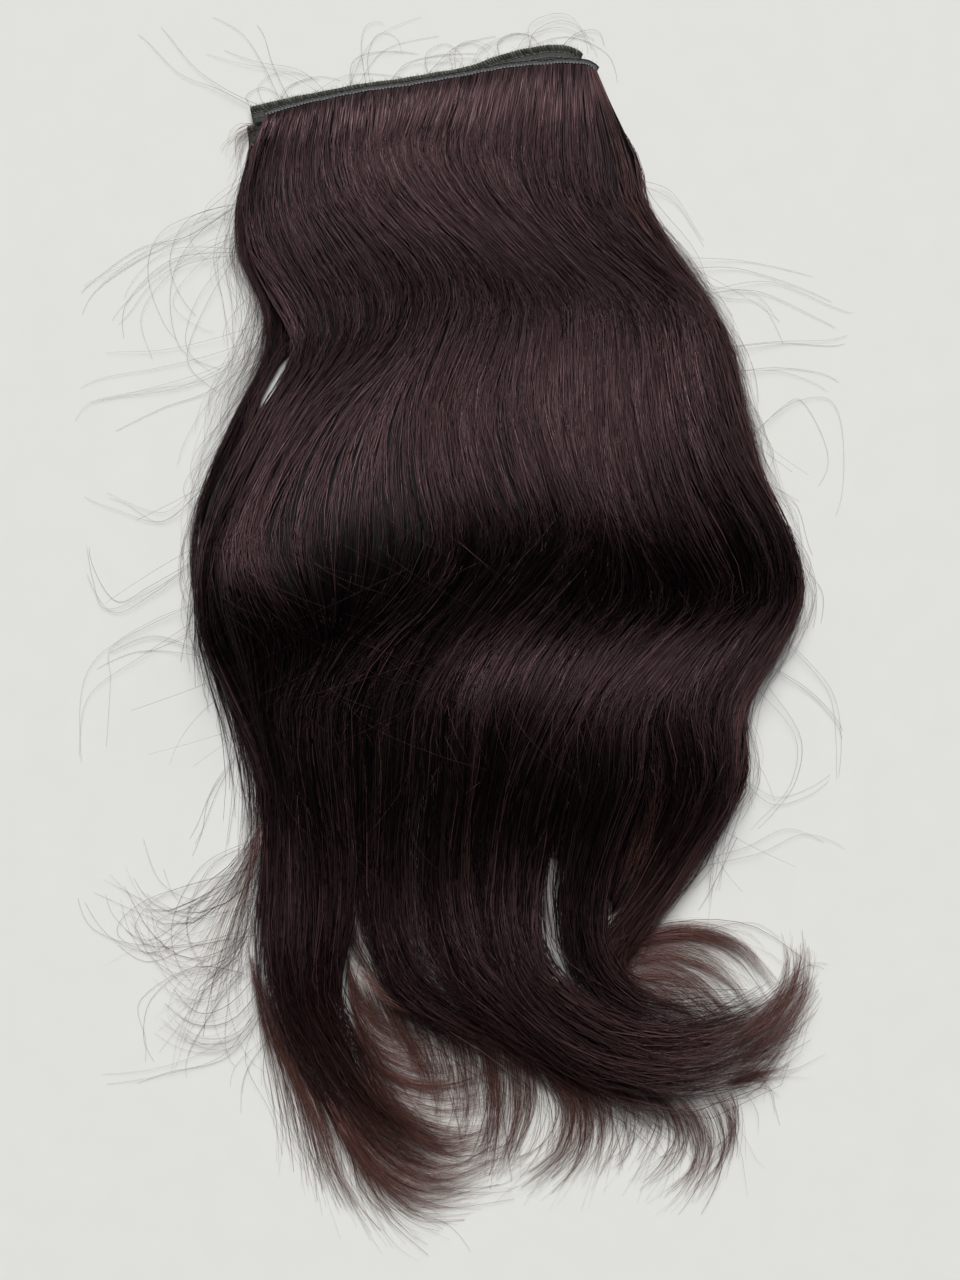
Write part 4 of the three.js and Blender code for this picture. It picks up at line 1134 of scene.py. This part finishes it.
def frizzPaths(hairs, side, rng):
    # y runs down from a random start; x is the side's own x plus a bow of one sine hump that may end early
    form, count = frizzForm, hairs["count"]
    start = rng.uniform(hairs["low"], hairs["top"], (count, 1))
    long = rng.uniform(form["shortest"], hairs["longest"], (count, 1))
    q = np.linspace(0, 1, form["rings"]) * rng.uniform(form["endShare"], 1, (count, 1))
    y = start - long * q
    bow = hairs["bow"] * rng.random((count, 1)) ** 2 + form["leastBow"]
    aside = bow * np.sin(np.pi * q ** 1.2) - form["inset"] + form["scatter"] * rng.normal(0, 1, (count, 1))
    z = mix(form["lift"], form["low"], q) + form["rise"] * rng.random((count, 1))
    return np.stack([downFall(sectionX[:, side["line"]], y) + side["out"] * aside, y, z], -1)


# Loose ends that lie across the top of the fall and catch the light; their pale tones are painted highlights.
topForm = dict(
    topFrizz=dict(count=320, lines=(1.4, 8.6), rows=(-80, 200), shortest=15.0, longest=65.0, lean=.28, bend=.4,
                  rings=9, above=.4, rise=1.4, radius=.085, tones=(.6, 1), warmTo=.85, seed=97),
    topTangle=dict(count=62, lines=(1.2, 5.0), rows=(-15, 50), shortest=12.0, longest=42.0, lean=.9, bend=1.0,
                   rings=9, above=.4, rise=1.4, radius=.07, tones=(.86, 1), warmTo=.85, seed=98),
)
topRootY = 230.0  # where the front sheet starts


def topPaths(hairs, rng):
    # short arcs on the front sheet, leaning off the fall's own direction, a little above its top
    count = hairs["count"]
    u = rng.uniform(*hairs["lines"], count)
    y0 = rng.uniform(*hairs["rows"], (count, 1))
    long = rng.uniform(hairs["shortest"], hairs["longest"], (count, 1))
    q = np.linspace(0, 1, hairs["rings"])
    y = y0 - long * q
    near = np.stack([downFall(column, y) for column in sectionX.T])
    i, each = u.astype(int), np.arange(count)
    base = mix(near[i, each], near[i + 1, each], (u - i)[:, None])
    lean, bend = (rng.normal(0, hairs[key], (count, 1)) for key in ("lean", "bend"))
    x = base + long * (lean * q + bend * q ** 2)
    top = sheetHeight(wefts["front"], x, y, topRootY, 1.0)
    return np.stack([x, y, top + hairs["above"] + hairs["rise"] * q * rng.random((count, 1))], -1)


looseForm = dict(thinEnd=.45, sizes=(.8, 1.25), warmFrom=.6, warmTo=1.0)


def looseHair(name, paths, hairs, rng, node):
    # thin tapering tubes along the given paths, each with its own tone
    form, (count, rings) = looseForm, paths.shape[:2]
    size = hairs["radius"] * np.linspace(1, form["thinEnd"], rings) * rng.uniform(*form["sizes"], (count, 1))
    paths[..., 2] = np.maximum(paths[..., 2], size + tableGap)
    tone = rng.uniform(*hairs["tones"], (count, 1))
    # along rises towards the end of each loose hair, so its end warms to the tip colour, partly painted light shining
    # through thin hair
    along = np.linspace(form["warmFrom"], hairs.get("warmTo", form["warmTo"]), rings)
    dress(addTubes(name, paths, size, tone=tone, along=along), strandFinish, node)


for name, routes in strayRoutes.items():
    rng = np.random.default_rng(strayForm["seed"] + wefts[name]["rank"])
    looseHair(name + "Strays", strayPaths(routes, strayForm["copies"][name], rng), strayForm, rng, name + "_hair")
for order, (name, hairs) in enumerate(frizz.items()):
    rng = np.random.default_rng(frizzForm["seed"] + 10 * order)
    side = frizzForm["left" if name.startswith("left") else "right"]
    looseHair(name, frizzPaths(hairs, side, rng), hairs, rng, side["node"])
for name, hairs in topForm.items():
    rng = np.random.default_rng(hairs["seed"])
    looseHair(name, topPaths(hairs, rng), hairs, rng, "front_hair")
print("loose hairs laid")

# Stage
room = dict(
    floorHalf=2.5, cameraAt=(.008, -.0002, .75), lens=49.95,
    sunHeight=42.0, sunTurn=0.0, sunSize=46.0, sunStrength=4.0, sunColour=(1, .995, .98),
    skyDark=.014, skyBright=.45, skyFrom=.15, skyTo=.95, skyColour=(.95, .98, 1.0),
)
half = room["floorHalf"]
floorMesh = bpy.data.meshes.new("floor")
floorMesh.from_pydata([(-half, -half, 0), (half, -half, 0), (half, half, 0), (-half, half, 0)], [], [(0, 1, 2, 3)])
floorMesh.materials.append(floorMaterial())
floor = placed("floor", floorMesh)

window = bpy.data.lights.new("windowLight", "SUN")
window.energy, window.angle, window.color = room["sunStrength"], np.radians(room["sunSize"]), room["sunColour"]
windowLight = placed("windowLight", window)
windowLight.rotation_euler = (np.radians(room["sunHeight"] - 90), 0, np.radians(room["sunTurn"]))

# the room is dark overhead and behind, and brightens towards the window side
world = bpy.data.worlds.new("room")
world.use_nodes = True
tree = world.node_tree
sky = tree.nodes["Background"]
sky.inputs["Color"].default_value = (*room["skyColour"], 1)
heading = nodeIn(tree, "ShaderNodeTexCoord")
parts = nodeIn(tree, "ShaderNodeSeparateXYZ")
glow = nodeIn(tree, "ShaderNodeMapRange", {"From Min": room["skyFrom"], "From Max": room["skyTo"],
              "To Min": room["skyDark"], "To Max": room["skyBright"]}, interpolation_type="SMOOTHSTEP")
wire(tree, (heading, "Generated", parts, 0), (parts, "Y", glow, "Value"), (glow, "Result", sky, "Strength"))
bpy.context.scene.world = world

lens = bpy.data.cameras.new("tableCamera")
lens.sensor_fit, lens.sensor_height, lens.lens = "VERTICAL", 36.0, room["lens"]
lens.clip_start = .01
camera = placed("tableCamera", lens)
camera.location = room["cameraAt"]
bpy.context.scene.camera = camera
bpy.context.scene.view_settings.view_transform = "Standard"
print("stage set")

shown = [o for o in bpy.context.scene.objects if o.type == "MESH" and "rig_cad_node" not in o]
print("triangles in all:", triangleCount(shown))
